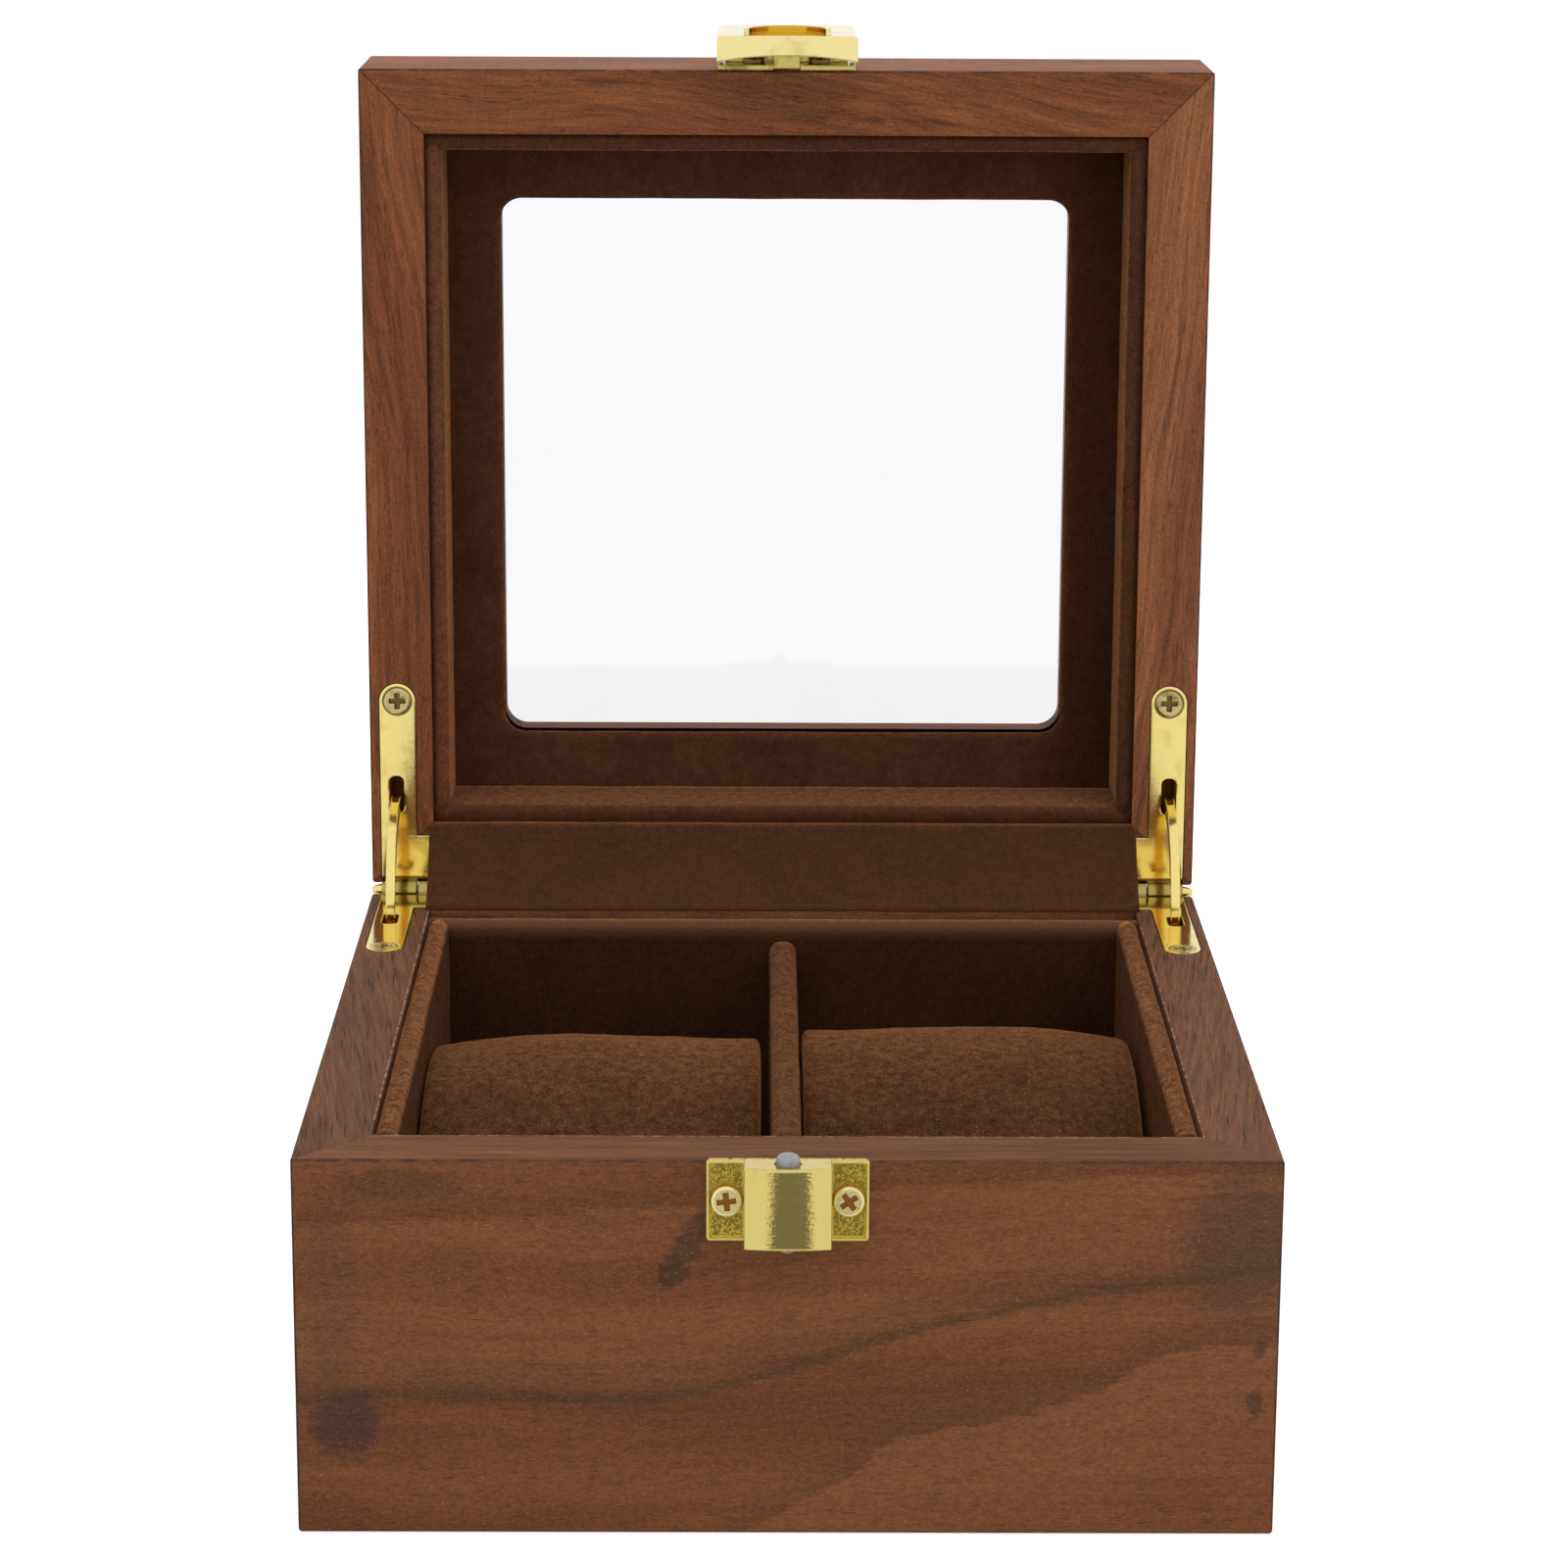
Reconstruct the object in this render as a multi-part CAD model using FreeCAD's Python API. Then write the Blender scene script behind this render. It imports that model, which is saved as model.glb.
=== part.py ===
import FreeCAD, Part
import math
import os
from FreeCAD import Vector

# Watch box for two watches: a walnut base and a hinged lid with a window, in millimetres.
# +Z is up, +X is right, the front faces -Y, and the origin is the centre of the underside.
# The lid stands open at a right angle; its pieces are drawn closed and then swung open.

# Box
box_width = 130.0
box_depth = 128.0
base_height = 52.5
lid_height = 22.0
wall = 9.8
edge_round = 0.5
lid_gap = 0.6
open_angle = 90.0

# Bottom
panel_thickness = 4.0
panel_rabbet = 4.0
panel_clearance = 0.1
felt_thickness = 0.8

# Base linings and divider
floor_thickness = 1.5
lining_thickness = 3.2
lining_drop = 0.9
lining_round = 1.5
divider_thickness = 4.2
divider_drop = 4.0
divider_round = 1.8

# Cushions
cushion_side_room = 1.6
cushion_length = 76.0
cushion_height = 41.0
cushion_end_radius = 16.0
cushion_waist = 15.0
cushion_outer_inset = 1.6
cushion_shoulder_inset = 0.5
cushion_inner_inset = 0.2
cushion_shoulder_reach = 8.0
cushion_seat_gap = 0.2
cushion_left_shift = -1.5
cushion_right_shift = 3.0
cushion_left_gap = 1.3
cushion_right_gap = 0.4

# Lid
frame_thickness = 4.0
glass_thickness = 2.0
glass_clearance = 0.3
mat_thickness = 2.0
mat_clearance = 0.1
frame_side_width = 20.5
frame_end_width = 21.25
window_corner = 3.4
lid_lining_thickness = 2.6
lid_lining_drop = 1.0
lid_lining_round = 1.1

# Hinges
hinge_back = 1.0
barrel_radius = 1.5
pin_radius = 0.75
pin_clearance = 0.05
pin_head_radius = 1.0
pin_head_tip_radius = 0.6
knuckle_outer = 1.4
knuckle_inner = 3.3
knuckle_gap = 0.15
leaf_inset = 4.4
leaf_width = 5.6
leaf_reach = 33.4
leaf_cut_back = 0.3
leaf_leg_width = 7.0
leaf_leg_length = 13.0
leaf_leg_corner = 1.5
leaf_pocket_clearance = 0.15
leaf_screw_head_radius = 2.1
leaf_screw_length = 8.0

# Stay arms
arm_radius = 14.5
arm_width = 2.2
arm_thickness = 1.4
arm_outset = 0.3
arm_overlap = 8.0
arm_pocket_width = 2.8
arm_room = 0.6
slot_near = 12.5
slot_far = 18.5
slot_width = 2.4
slot_corner = 1.0

# Hinge cover cloth
cloth_thickness = 0.3
cloth_overlap = 0.6
cloth_sag = 0.9
cloth_edge_gap = 0.05

# Latch keeper
keeper_width = 21.4
keeper_height = 11.2
keeper_rise = 0.35
keeper_plate = 1.0
keeper_border = 0.45
keeper_field_depth = 0.45
keeper_corner = 0.5
keeper_edge_round = 0.3
housing_width = 11.5
housing_reach = 4.9
housing_crown = 0.5
housing_edge_round = 0.3
housing_floor = 1.2

# Plunger
plunger_radius = 1.6
plunger_clearance = 0.15
plunger_offset = 2.3
plunger_rise = 1.3
plunger_dome = 0.9
plunger_grip = 3.6
stem_radius = 0.7
stem_clearance = 0.15
stem_drop = 0.9

# Latch lever, its plate and its pivot
lever_width = 21.0
lever_thickness = 1.0
lever_clearance = 0.3
lever_above = 9.0
lever_corner = 2.5
lip_thickness = 1.4
lip_clearance = 0.3
lip_offset = 2.4
lip_arch = 0.9
lever_edge_round = 0.7
dish_radius = 6.5
dish_wall = 0.8
dish_height = 1.0
dish_setback = 1.6
latch_plate_width = 20.9
latch_plate_thickness = 0.8
latch_plate_height = 8.2
latch_plate_corner = 1.5
tab_width = 4.0
tab_reach = 3.9
tab_clearance = 0.45
tab_side_gap = 0.1
pivot_above = 6.6
pivot_offset = 3.0
pivot_radius = 0.7
pivot_clearance = 0.05
ear_thickness = 0.9
ear_radius = 1.5
ear_gap = 0.2
knuckle_spring_gap = 1.9
lever_ear_radius = 2.05

# Screws and springs
pan_head_radius = 2.1
pan_head_height = 0.9
pan_head_round = 0.4
shank_radius = 1.0
shank_clearance = 0.02
keeper_screw_length = 7.0
cross_width = 0.8
cross_length = 2.6
cross_depth = 0.65
left_screw_turn = 6.0
right_screw_turn = 35.0
plate_screw_spacing = 10.0
plate_screw_above = 3.2
plate_head_radius = 1.7
spring_wire_radius = 0.22
spring_radius = 1.15
plunger_spring_turns = 6
latch_spring_turns = 5
latch_spring_pitch = 0.6
spring_end_gap = 0.05

# Levels and planes worked out from the sizes above
half_width = box_width / 2
half_depth = box_depth / 2
inner_x = half_width - wall
inner_y = half_depth - wall
panel_bottom = felt_thickness
panel_top = panel_bottom + panel_thickness
floor_top = panel_top + floor_thickness
cushion_width = inner_x - lining_thickness - divider_thickness / 2 - cushion_side_room
cloth_width = 2 * (inner_x + cloth_overlap)
window_width = box_width - 2 * frame_side_width
window_depth = box_depth - 2 * frame_end_width
lid_bottom = base_height + lid_gap
lid_top = lid_bottom + lid_height
frame_bottom = lid_top - frame_thickness
glass_bottom = frame_bottom - glass_thickness
mat_bottom = glass_bottom - mat_thickness
hinge_y = half_depth + hinge_back
hinge_z = base_height + lid_gap / 2
leaf_thickness = barrel_radius - lid_gap / 2
leaf_x = half_width - leaf_inset
leaf_outer = leaf_x + leaf_width / 2
leaf_inner = leaf_x - leaf_width / 2
leaf_back = hinge_y - barrel_radius - leaf_cut_back
arm_x = leaf_x + arm_outset
keeper_top = base_height + keeper_rise
keeper_bottom = keeper_top - keeper_height
front_y = -half_depth
plunger_y = front_y - plunger_offset
lever_inner_y = front_y - housing_reach - lever_clearance
lever_outer_y = lever_inner_y - lever_thickness
lever_top = lid_bottom + lever_above
lip_top = keeper_bottom - lip_clearance
lip_bottom = lip_top - lip_thickness
pivot_y = front_y - pivot_offset
pivot_z = lid_bottom + pivot_above

X_AXIS = Vector(1, 0, 0)
Y_AXIS = Vector(0, 1, 0)
Z_AXIS = Vector(0, 0, 1)
ORIGIN = Vector(0, 0, 0)
TOUCH = 1e-6

nodes = {}


def block(x0, x1, y0, y1, z0, z1):
    """A box between two corners."""
    return Part.makeBox(x1 - x0, y1 - y0, z1 - z0, Vector(x0, y0, z0))


def centred_block(width, depth, z0, z1):
    """A box centred on the Z axis."""
    return block(-width / 2, width / 2, -depth / 2, depth / 2, z0, z1)


def rod(radius, start, end):
    """A round rod from one point to another."""
    run = end - start
    return Part.makeCylinder(radius, run.Length, start, run)


def taper(radius_start, radius_end, start, end):
    """A cone frustum from one point to another."""
    run = end - start
    return Part.makeCone(radius_start, radius_end, run.Length, start, run)


def line(a, b):
    return Part.LineSegment(a, b).toShape()


def arc(a, middle, b):
    return Part.Arc(a, middle, b).toShape()


def extruded(edges, direction):
    """A prism on the closed outline that the edges make."""
    return Part.Face(Part.Wire(edges)).extrude(direction)


def polygon_prism(points, z0, z1):
    """A prism over an outline of X, Y points."""
    corners = [Vector(x, y, z0) for x, y in points]
    outline = Part.makePolygon(corners + corners[:1])
    return Part.Face(outline).extrude(Z_AXIS * (z1 - z0))


def edges_along(shape, direction):
    """The straight edges of a shape that run along a direction."""
    found = []
    for edge in shape.Edges:
        if isinstance(edge.Curve, Part.Line) and abs(edge.tangentAt(0).dot(direction)) > 1 - TOUCH:
            found.append(edge)
    return found


def edges_in_front_plane(shape, y):
    """The edges of a shape that lie in the plane at one Y."""
    found = []
    for edge in shape.Edges:
        if abs(edge.BoundBox.YMin - y) + abs(edge.BoundBox.YMax - y) < TOUCH:
            found.append(edge)
    return found


def eased_block(width, depth, z0, z1):
    """A centred box with all its edges eased."""
    solid = centred_block(width, depth, z0, z1)
    return solid.makeFillet(edge_round, solid.Edges)


def rounded_window(z0, z1):
    """The window opening with its round corners."""
    solid = centred_block(window_width, window_depth, z0, z1)
    return solid.makeFillet(window_corner, edges_along(solid, Z_AXIS))


def mitre_wedges(z0, z1):
    """The four regions into which corner mitres split a frame: front, rear, left, right."""
    reach = min(half_width, half_depth) - edge_round
    outer = [(-half_width, -half_depth), (half_width, -half_depth)]
    outer += [(half_width, half_depth), (-half_width, half_depth)]
    inner = [(x - math.copysign(reach, x), y - math.copysign(reach, y)) for x, y in outer]
    corners = {"front": (0, 1), "right": (1, 2), "rear": (2, 3), "left": (3, 0)}
    wedges = {}
    for side, (a, b) in corners.items():
        wedges[side] = polygon_prism([outer[a], outer[b], inner[b], inner[a]], z0, z1)
    return wedges


def both_sides(shape):
    """A right-hand shape and its left-hand mirror image."""
    return {"right": shape, "left": shape.mirror(ORIGIN, X_AXIS)}


def flipped_to_lid(shape):
    """A base fitting mirrored in the joint plane between base and lid."""
    return shape.mirror(Vector(0, 0, hinge_z), Z_AXIS)


def opened(shape):
    """A lid piece swung from closed to open."""
    return shape.rotated(Vector(0, hinge_y, hinge_z), X_AXIS, -open_angle)


def cut_all(shape, tools):
    for tool in tools:
        shape = shape.cut(tool)
    return shape


def add(name, *solids):
    """Keep a node, which may be a group of separate solids."""
    nodes[name] = solids[0] if len(solids) == 1 else Part.makeCompound(list(solids))


def arc_after(start, tangent, end):
    """The arc from start to end that leaves start along the tangent."""
    chord = end - start
    lean = tangent - chord * (tangent.dot(chord) / chord.dot(chord))
    half_turn = math.acos(tangent.dot(chord) / chord.Length)
    rise = chord.Length / 2 * math.tan(half_turn / 2)
    return arc(start, start + chord / 2 + lean.normalize() * rise, end)


def biarc(p0, t0, p1, t1):
    """Two arcs that meet tangentially and join two points along their tangents."""
    run = p1 - p0
    spread = 2 * (1 - t0.dot(t1))
    lean = 2 * run.dot(t0 + t1)
    reach = (math.sqrt(lean * lean + 4 * spread * run.dot(run)) - lean) / (2 * spread)
    joint = (p0 + t0 * reach + p1 - t1 * reach) / 2
    chord = joint - p0
    joint_tangent = chord * (2 * t0.dot(chord) / chord.dot(chord)) - t0
    return [arc_after(p0, t0, joint), arc_after(joint, joint_tangent, p1)]


def coil(start, axis, side, pitch, turns):
    """A spring wound in quarter turns of two arcs each, round an axis through its start."""
    across = axis.cross(side)
    climb = pitch / (2 * math.pi)
    quarter = math.pi / 2

    def point(angle):
        outward = side * math.cos(angle) + across * math.sin(angle)
        return start + outward * spring_radius + axis * (climb * angle)

    def tangent(angle):
        along = across * math.cos(angle) - side * math.sin(angle)
        return (along * spring_radius + axis * climb).normalize()

    edges = []
    for step in range(4 * turns):
        a0 = step * quarter
        a1 = a0 + quarter
        edges += biarc(point(a0), tangent(a0), point(a1), tangent(a1))
    sweep = Part.BRepOffsetAPI.MakePipeShell(Part.Wire(edges))
    sweep.add(Part.Wire(Part.makeCircle(spring_wire_radius, point(0), tangent(0))))
    sweep.build()
    sweep.makeSolid()
    return sweep.shape()


def cross_recess(tip, inward, side):
    """The cross cut into a screw head, from its top face inward."""
    across = inward.cross(side)
    arms = []
    for along, over in ((side, across), (across, side)):
        corner = tip - along * (cross_length / 2) - over * (cross_width / 2)
        points = [corner, corner + along * cross_length]
        points += [points[1] + over * cross_width, corner + over * cross_width]
        outline = Part.makePolygon(points + points[:1])
        arms.append(Part.Face(outline).extrude(inward * cross_depth))
    return arms[0].fuse(arms[1])


def countersunk_screw(top, inward, side):
    """A leaf screw whose head fills the countersink down to the leaf's underside."""
    seat = top + inward * leaf_thickness
    head = taper(leaf_screw_head_radius, shank_radius, top, seat)
    shank = rod(shank_radius, seat, seat + inward * leaf_screw_length)
    return head.fuse(shank).cut(cross_recess(top, inward, side))


def pan_screw(seat, inward, side, head_radius, length):
    """A screw with a rounded head that stands on its seat."""
    top = seat - inward * pan_head_height
    head = rod(head_radius, seat, top)
    rim = [edge for edge in head.Edges if abs((edge.CenterOfMass - top).dot(inward)) < TOUCH]
    head = head.makeFillet(pan_head_round, rim)
    shank = rod(shank_radius, seat, seat + inward * length)
    return head.fuse(shank).cut(cross_recess(top, inward, side))


def screw_hole(top, inward, length):
    """The hole that a screw's shank takes in wood or plate."""
    return rod(shank_radius + shank_clearance, top, top + inward * length)


def leaf_outline(grow, z0, z1):
    """The right-hand L-shaped leaf in plan, grown all round by a clearance."""
    end_radius = leaf_width / 2 + grow
    end_y = hinge_y - leaf_reach + leaf_width / 2
    long_leg = block(leaf_inner - grow, leaf_outer + grow, end_y, leaf_back, z0, z1)
    tip = rod(end_radius, Vector(leaf_x, end_y, z0), Vector(leaf_x, end_y, z1))
    leg_front = leaf_back - leaf_leg_width - grow
    leg_end = leaf_inner - leaf_leg_length - grow
    leg = block(leg_end, leaf_inner, leg_front, leaf_back, z0, z1)
    corners = [e for e in edges_along(leg, Z_AXIS) if e.CenterOfMass.x < leaf_inner - leaf_leg_length / 2]
    leg = leg.makeFillet(leaf_leg_corner, corners)
    return long_leg.fuse(tip).fuse(leg).removeSplitter()


def leaf_screw_places():
    """Where a right-hand leaf takes its two screws, on the rim."""
    end_y = hinge_y - leaf_reach + leaf_width / 2
    leg_x = leaf_inner - leaf_leg_length + leaf_leg_width / 2
    leg_y = leaf_back - leaf_leg_width / 2
    return [Vector(leaf_x, end_y, base_height), Vector(leg_x, leg_y, base_height)]


def knuckle(x0, x1, bore_radius):
    """A rolled knuckle with the web that joins it to the base leaf."""
    under = base_height - leaf_thickness
    roll = rod(barrel_radius, Vector(x0, hinge_y, hinge_z), Vector(x1, hinge_y, hinge_z))
    web = block(x0, x1, leaf_back, hinge_y, under, base_height)
    bore = rod(bore_radius, Vector(x0, hinge_y, hinge_z), Vector(x1, hinge_y, hinge_z))
    return roll.fuse(web).cut(bore)


def hinge_leaf(knuckle_spans, bore_radius):
    """A right-hand leaf in the base rim with its knuckles, stay slot and countersinks."""
    under = base_height - leaf_thickness
    leaf = leaf_outline(0, under, base_height)
    slot = block(
        arm_x - slot_width / 2,
        arm_x + slot_width / 2,
        hinge_y - slot_far,
        hinge_y - slot_near,
        under,
        base_height,
    )
    slot = slot.makeFillet(slot_corner, edges_along(slot, Z_AXIS))
    leaf = leaf.cut(slot)
    for place in leaf_screw_places():
        low = place - Z_AXIS * leaf_thickness
        sink = taper(shank_radius + shank_clearance, leaf_screw_head_radius + shank_clearance, low, place)
        leaf = leaf.cut(sink)
    for x0, x1 in knuckle_spans:
        leaf = leaf.fuse(knuckle(x0, x1, bore_radius))
    return leaf.removeSplitter()


def leaf_pocket():
    """What a right-hand leaf, its barrel and its stay arm need cut from the base."""
    under = base_height - leaf_thickness
    grow = leaf_pocket_clearance
    above = base_height + edge_round
    outline = leaf_outline(grow, under, above)
    barrel_inner = leaf_inner - knuckle_inner - grow
    relief = block(barrel_inner, leaf_outer + grow, leaf_back - grow, hinge_y, under, above)
    leg_relief = block(
        leaf_inner - leaf_leg_length - grow,
        leaf_outer + grow,
        leaf_back - leaf_leg_width / 2,
        leaf_back + grow,
        under,
        above,
    )
    swing = math.radians(open_angle / 2 + arm_overlap)
    outer = arm_radius + arm_width / 2
    inner = arm_radius - arm_width / 2
    stay = block(
        arm_x - arm_pocket_width / 2,
        arm_x + arm_pocket_width / 2,
        hinge_y - slot_far,
        hinge_y - inner * math.cos(swing) + arm_room,
        hinge_z - outer * math.sin(swing) - arm_room,
        above,
    )
    pocket = outline.fuse(relief).fuse(leg_relief).fuse(stay)
    for place in leaf_screw_places():
        pocket = pocket.fuse(screw_hole(place, -Z_AXIS, leaf_thickness + leaf_screw_length))
    return pocket


def stay_arm():
    """A right-hand stay arm: a flat ring segment round the hinge axis with round ends."""
    x0 = arm_x - arm_thickness / 2

    def point(radius, angle):
        turn = math.radians(angle)
        return Vector(x0, hinge_y - radius * math.cos(turn), hinge_z + radius * math.sin(turn))

    inner = arm_radius - arm_width / 2
    outer = arm_radius + arm_width / 2
    low = -arm_overlap
    high = open_angle + arm_overlap
    middle = (low + high) / 2
    end_turn = math.degrees(arm_width / 2 / arm_radius)
    edges = [
        arc(point(outer, low), point(outer, middle), point(outer, high)),
        arc(point(outer, high), point(arm_radius, high + end_turn), point(inner, high)),
        arc(point(inner, high), point(inner, middle), point(inner, low)),
        arc(point(inner, low), point(arm_radius, low - end_turn), point(outer, low)),
    ]
    return extruded(edges, X_AXIS * arm_thickness)


def cushion_outline(x, inset):
    """A cushion's side outline at one place across it: a flat seat, round ends and a domed top."""
    half = cushion_length / 2 - inset
    top = cushion_height - inset
    end_y = half - cushion_end_radius
    foot = end_y + math.sqrt(cushion_end_radius**2 - cushion_waist**2)
    # The dome is the arc through the crest that is tangent to both round ends.
    crest = top - cushion_end_radius
    drop = (crest**2 - end_y**2 - cushion_waist**2) / (2 * (crest - cushion_waist))
    slope = Vector(0, end_y, cushion_waist - drop).normalize()
    shoulder = Vector(x, end_y, cushion_waist) + slope * cushion_end_radius
    a = Vector(x, -foot, 0)
    b = Vector(x, foot, 0)
    c = shoulder
    d = Vector(x, -shoulder.y, shoulder.z)
    edges = [
        line(a, b),
        arc(b, Vector(x, half, cushion_waist), c),
        arc(c, Vector(x, 0, top), d),
        arc(d, Vector(x, -half, cushion_waist), a),
    ]
    return Part.Wire(edges)


def cushion(inner_end, outward, centre_y):
    """A cushion from its end by the divider outward, drawn in most at its outer end."""
    stations = [
        (0, cushion_inner_inset),
        (cushion_width / 2, 0),
        (cushion_width - cushion_shoulder_reach, cushion_shoulder_inset),
        (cushion_width, cushion_outer_inset),
    ]
    outlines = [cushion_outline(inner_end + outward * reach, inset) for reach, inset in stations]
    solid = Part.makeLoft(outlines, True, False)
    solid.translate(Vector(0, centre_y, floor_top + cushion_seat_gap))
    return solid


def build_base_walls(pockets, keeper_holes):
    ring = eased_block(box_width, box_depth, 0, base_height)
    ring = ring.cut(centred_block(2 * inner_x, 2 * inner_y, 0, base_height))
    rabbet_x = 2 * (inner_x + panel_rabbet)
    rabbet_y = 2 * (inner_y + panel_rabbet)
    ring = ring.cut(centred_block(rabbet_x, rabbet_y, 0, panel_top))
    for side, wedge in mitre_wedges(0, base_height).items():
        piece = cut_all(ring.common(wedge), pockets)
        if side == "front":
            piece = cut_all(piece, keeper_holes)
        add(f"base_{side}_wall", piece)


def build_bottom():
    width = 2 * (inner_x + panel_rabbet - panel_clearance)
    depth = 2 * (inner_y + panel_rabbet - panel_clearance)
    add("base_felt", centred_block(width, depth, 0, felt_thickness))
    add("bottom_panel", centred_block(width, depth, panel_bottom, panel_top))


def upright_board(x0, x1, y0, y1, top, along, round_radius):
    """A lining board on the floor with its two long top edges rounded."""
    board = block(x0, x1, y0, y1, floor_top, top)
    top_edges = [e for e in edges_along(board, along) if e.CenterOfMass.z > top - TOUCH]
    return board.makeFillet(round_radius, top_edges)


def build_base_linings():
    top = base_height - lining_drop
    side_x = inner_x - lining_thickness
    end_y = inner_y - lining_thickness
    add("floor_lining", centred_block(2 * inner_x, 2 * inner_y, panel_top, floor_top))
    side = upright_board(side_x, inner_x, -end_y, end_y, top, Y_AXIS, lining_round)
    for hand, board in both_sides(side).items():
        add(f"lining_{hand}", board)
    rear = upright_board(-inner_x, inner_x, end_y, inner_y, top, X_AXIS, lining_round)
    add("lining_rear", rear)
    add("lining_front", rear.mirror(ORIGIN, Y_AXIS))
    half = divider_thickness / 2
    divider_top = base_height - divider_drop
    add("divider", upright_board(-half, half, -end_y, end_y, divider_top, Y_AXIS, divider_round))


def build_cushions():
    left_end = -divider_thickness / 2 - cushion_left_gap
    right_end = divider_thickness / 2 + cushion_right_gap
    add("cushion_left", cushion(left_end, -1, cushion_left_shift))
    add("cushion_right", cushion(right_end, 1, cushion_right_shift))


def build_lid_wood(pockets, plate_holes):
    whole = eased_block(box_width, box_depth, lid_bottom, lid_top)
    rails = whole.common(centred_block(box_width, box_depth, lid_bottom, frame_bottom))
    rails = rails.cut(centred_block(2 * inner_x, 2 * inner_y, lid_bottom, frame_bottom))
    frame = whole.common(centred_block(box_width, box_depth, frame_bottom, lid_top))
    frame = frame.cut(rounded_window(frame_bottom, lid_top))
    for side, wedge in mitre_wedges(lid_bottom, lid_top).items():
        rail = cut_all(rails.common(wedge), pockets)
        if side == "front":
            rail = cut_all(rail, plate_holes)
        add(f"lid_{side}_rail", opened(rail))
        add(f"lid_frame_{side}", opened(frame.common(wedge)))


def build_lid_window():
    glass_x = 2 * (inner_x - glass_clearance)
    glass_y = 2 * (inner_y - glass_clearance)
    add("glass_pane", opened(centred_block(glass_x, glass_y, glass_bottom, frame_bottom)))
    mat_x = 2 * (inner_x - mat_clearance)
    mat_y = 2 * (inner_y - mat_clearance)
    mat = centred_block(mat_x, mat_y, mat_bottom, glass_bottom)
    add("window_mat", opened(mat.cut(rounded_window(mat_bottom, glass_bottom))))


def lid_board(x0, x1, y0, y1, along):
    """A lid lining board under the mat with its two long lower edges rounded."""
    low = lid_bottom + lid_lining_drop
    board = block(x0, x1, y0, y1, low, mat_bottom)
    low_edges = [e for e in edges_along(board, along) if e.CenterOfMass.z < low + TOUCH]
    return board.makeFillet(lid_lining_round, low_edges)


def build_lid_linings():
    side_x = inner_x - lid_lining_thickness
    end_y = inner_y - lid_lining_thickness
    side = lid_board(side_x, inner_x, -end_y, end_y, Y_AXIS)
    for hand, board in both_sides(side).items():
        add(f"lid_lining_{hand}", opened(board))
    rear = lid_board(-inner_x, inner_x, end_y, inner_y, X_AXIS)
    add("lid_lining_rear", opened(rear))
    add("lid_lining_front", opened(rear.mirror(ORIGIN, Y_AXIS)))


def build_hinges():
    outer_start = leaf_outer - knuckle_outer
    inner_end = leaf_inner - knuckle_inner
    base_spans = [(outer_start, leaf_outer), (inner_end, leaf_inner - knuckle_gap)]
    lid_span = [(leaf_inner, outer_start - knuckle_gap)]
    base_leaf = hinge_leaf(base_spans, pin_radius)
    lid_leaf = flipped_to_lid(hinge_leaf(lid_span, pin_radius + pin_clearance))
    pin_inner = Vector(inner_end, hinge_y, hinge_z)
    pin_outer = Vector(leaf_outer, hinge_y, hinge_z)
    head_end = Vector(half_width, hinge_y, hinge_z)
    pin = rod(pin_radius, pin_inner, pin_outer)
    pin = pin.fuse(taper(pin_head_radius, pin_head_tip_radius, pin_outer, head_end))
    base_screws = [countersunk_screw(place, -Z_AXIS, X_AXIS) for place in leaf_screw_places()]
    lid_screws = [flipped_to_lid(screw) for screw in base_screws]
    for hand, shape in both_sides(base_leaf).items():
        add(f"hinge_base_leaf_{hand}", shape)
    for hand, shape in both_sides(lid_leaf).items():
        add(f"hinge_lid_leaf_{hand}", opened(shape))
    for hand, shape in both_sides(pin).items():
        add(f"hinge_pin_{hand}", shape)
    for hand, shape in both_sides(stay_arm()).items():
        add(f"stay_arm_{hand}", shape)
    add("hinge_base_screws", *[s for screw in base_screws for s in both_sides(screw).values()])
    add("hinge_lid_screws", *[opened(s) for screw in lid_screws for s in both_sides(screw).values()])


def build_cloth():
    """The strip from the rear wall's inner edge up to the lid's rear rail, a little slack."""
    low = Vector(-cloth_width / 2, inner_y + cloth_edge_gap, base_height + cloth_edge_gap)
    rail_edge = hinge_z + hinge_y - inner_y
    lid_face = hinge_y + lid_gap / 2
    high = Vector(-cloth_width / 2, lid_face - cloth_edge_gap, rail_edge - cloth_edge_gap)
    run = high - low
    back = Vector(0, run.z, -run.y).normalize()
    middle = low + run / 2 + back * cloth_sag
    front_shift = back * -cloth_thickness
    edges = [
        arc(low, middle, high),
        line(high, high + front_shift),
        arc(high + front_shift, middle + front_shift, low + front_shift),
        line(low + front_shift, low),
    ]
    add("hinge_cover_cloth", extruded(edges, X_AXIS * cloth_width))


def keeper_screw_places():
    field_x = (housing_width / 2 + keeper_width / 2 - keeper_border) / 2
    seat_y = front_y - keeper_plate + keeper_field_depth
    middle_z = (keeper_top + keeper_bottom) / 2
    return [Vector(x, seat_y, middle_z) for x in (-field_x, field_x)]


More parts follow.
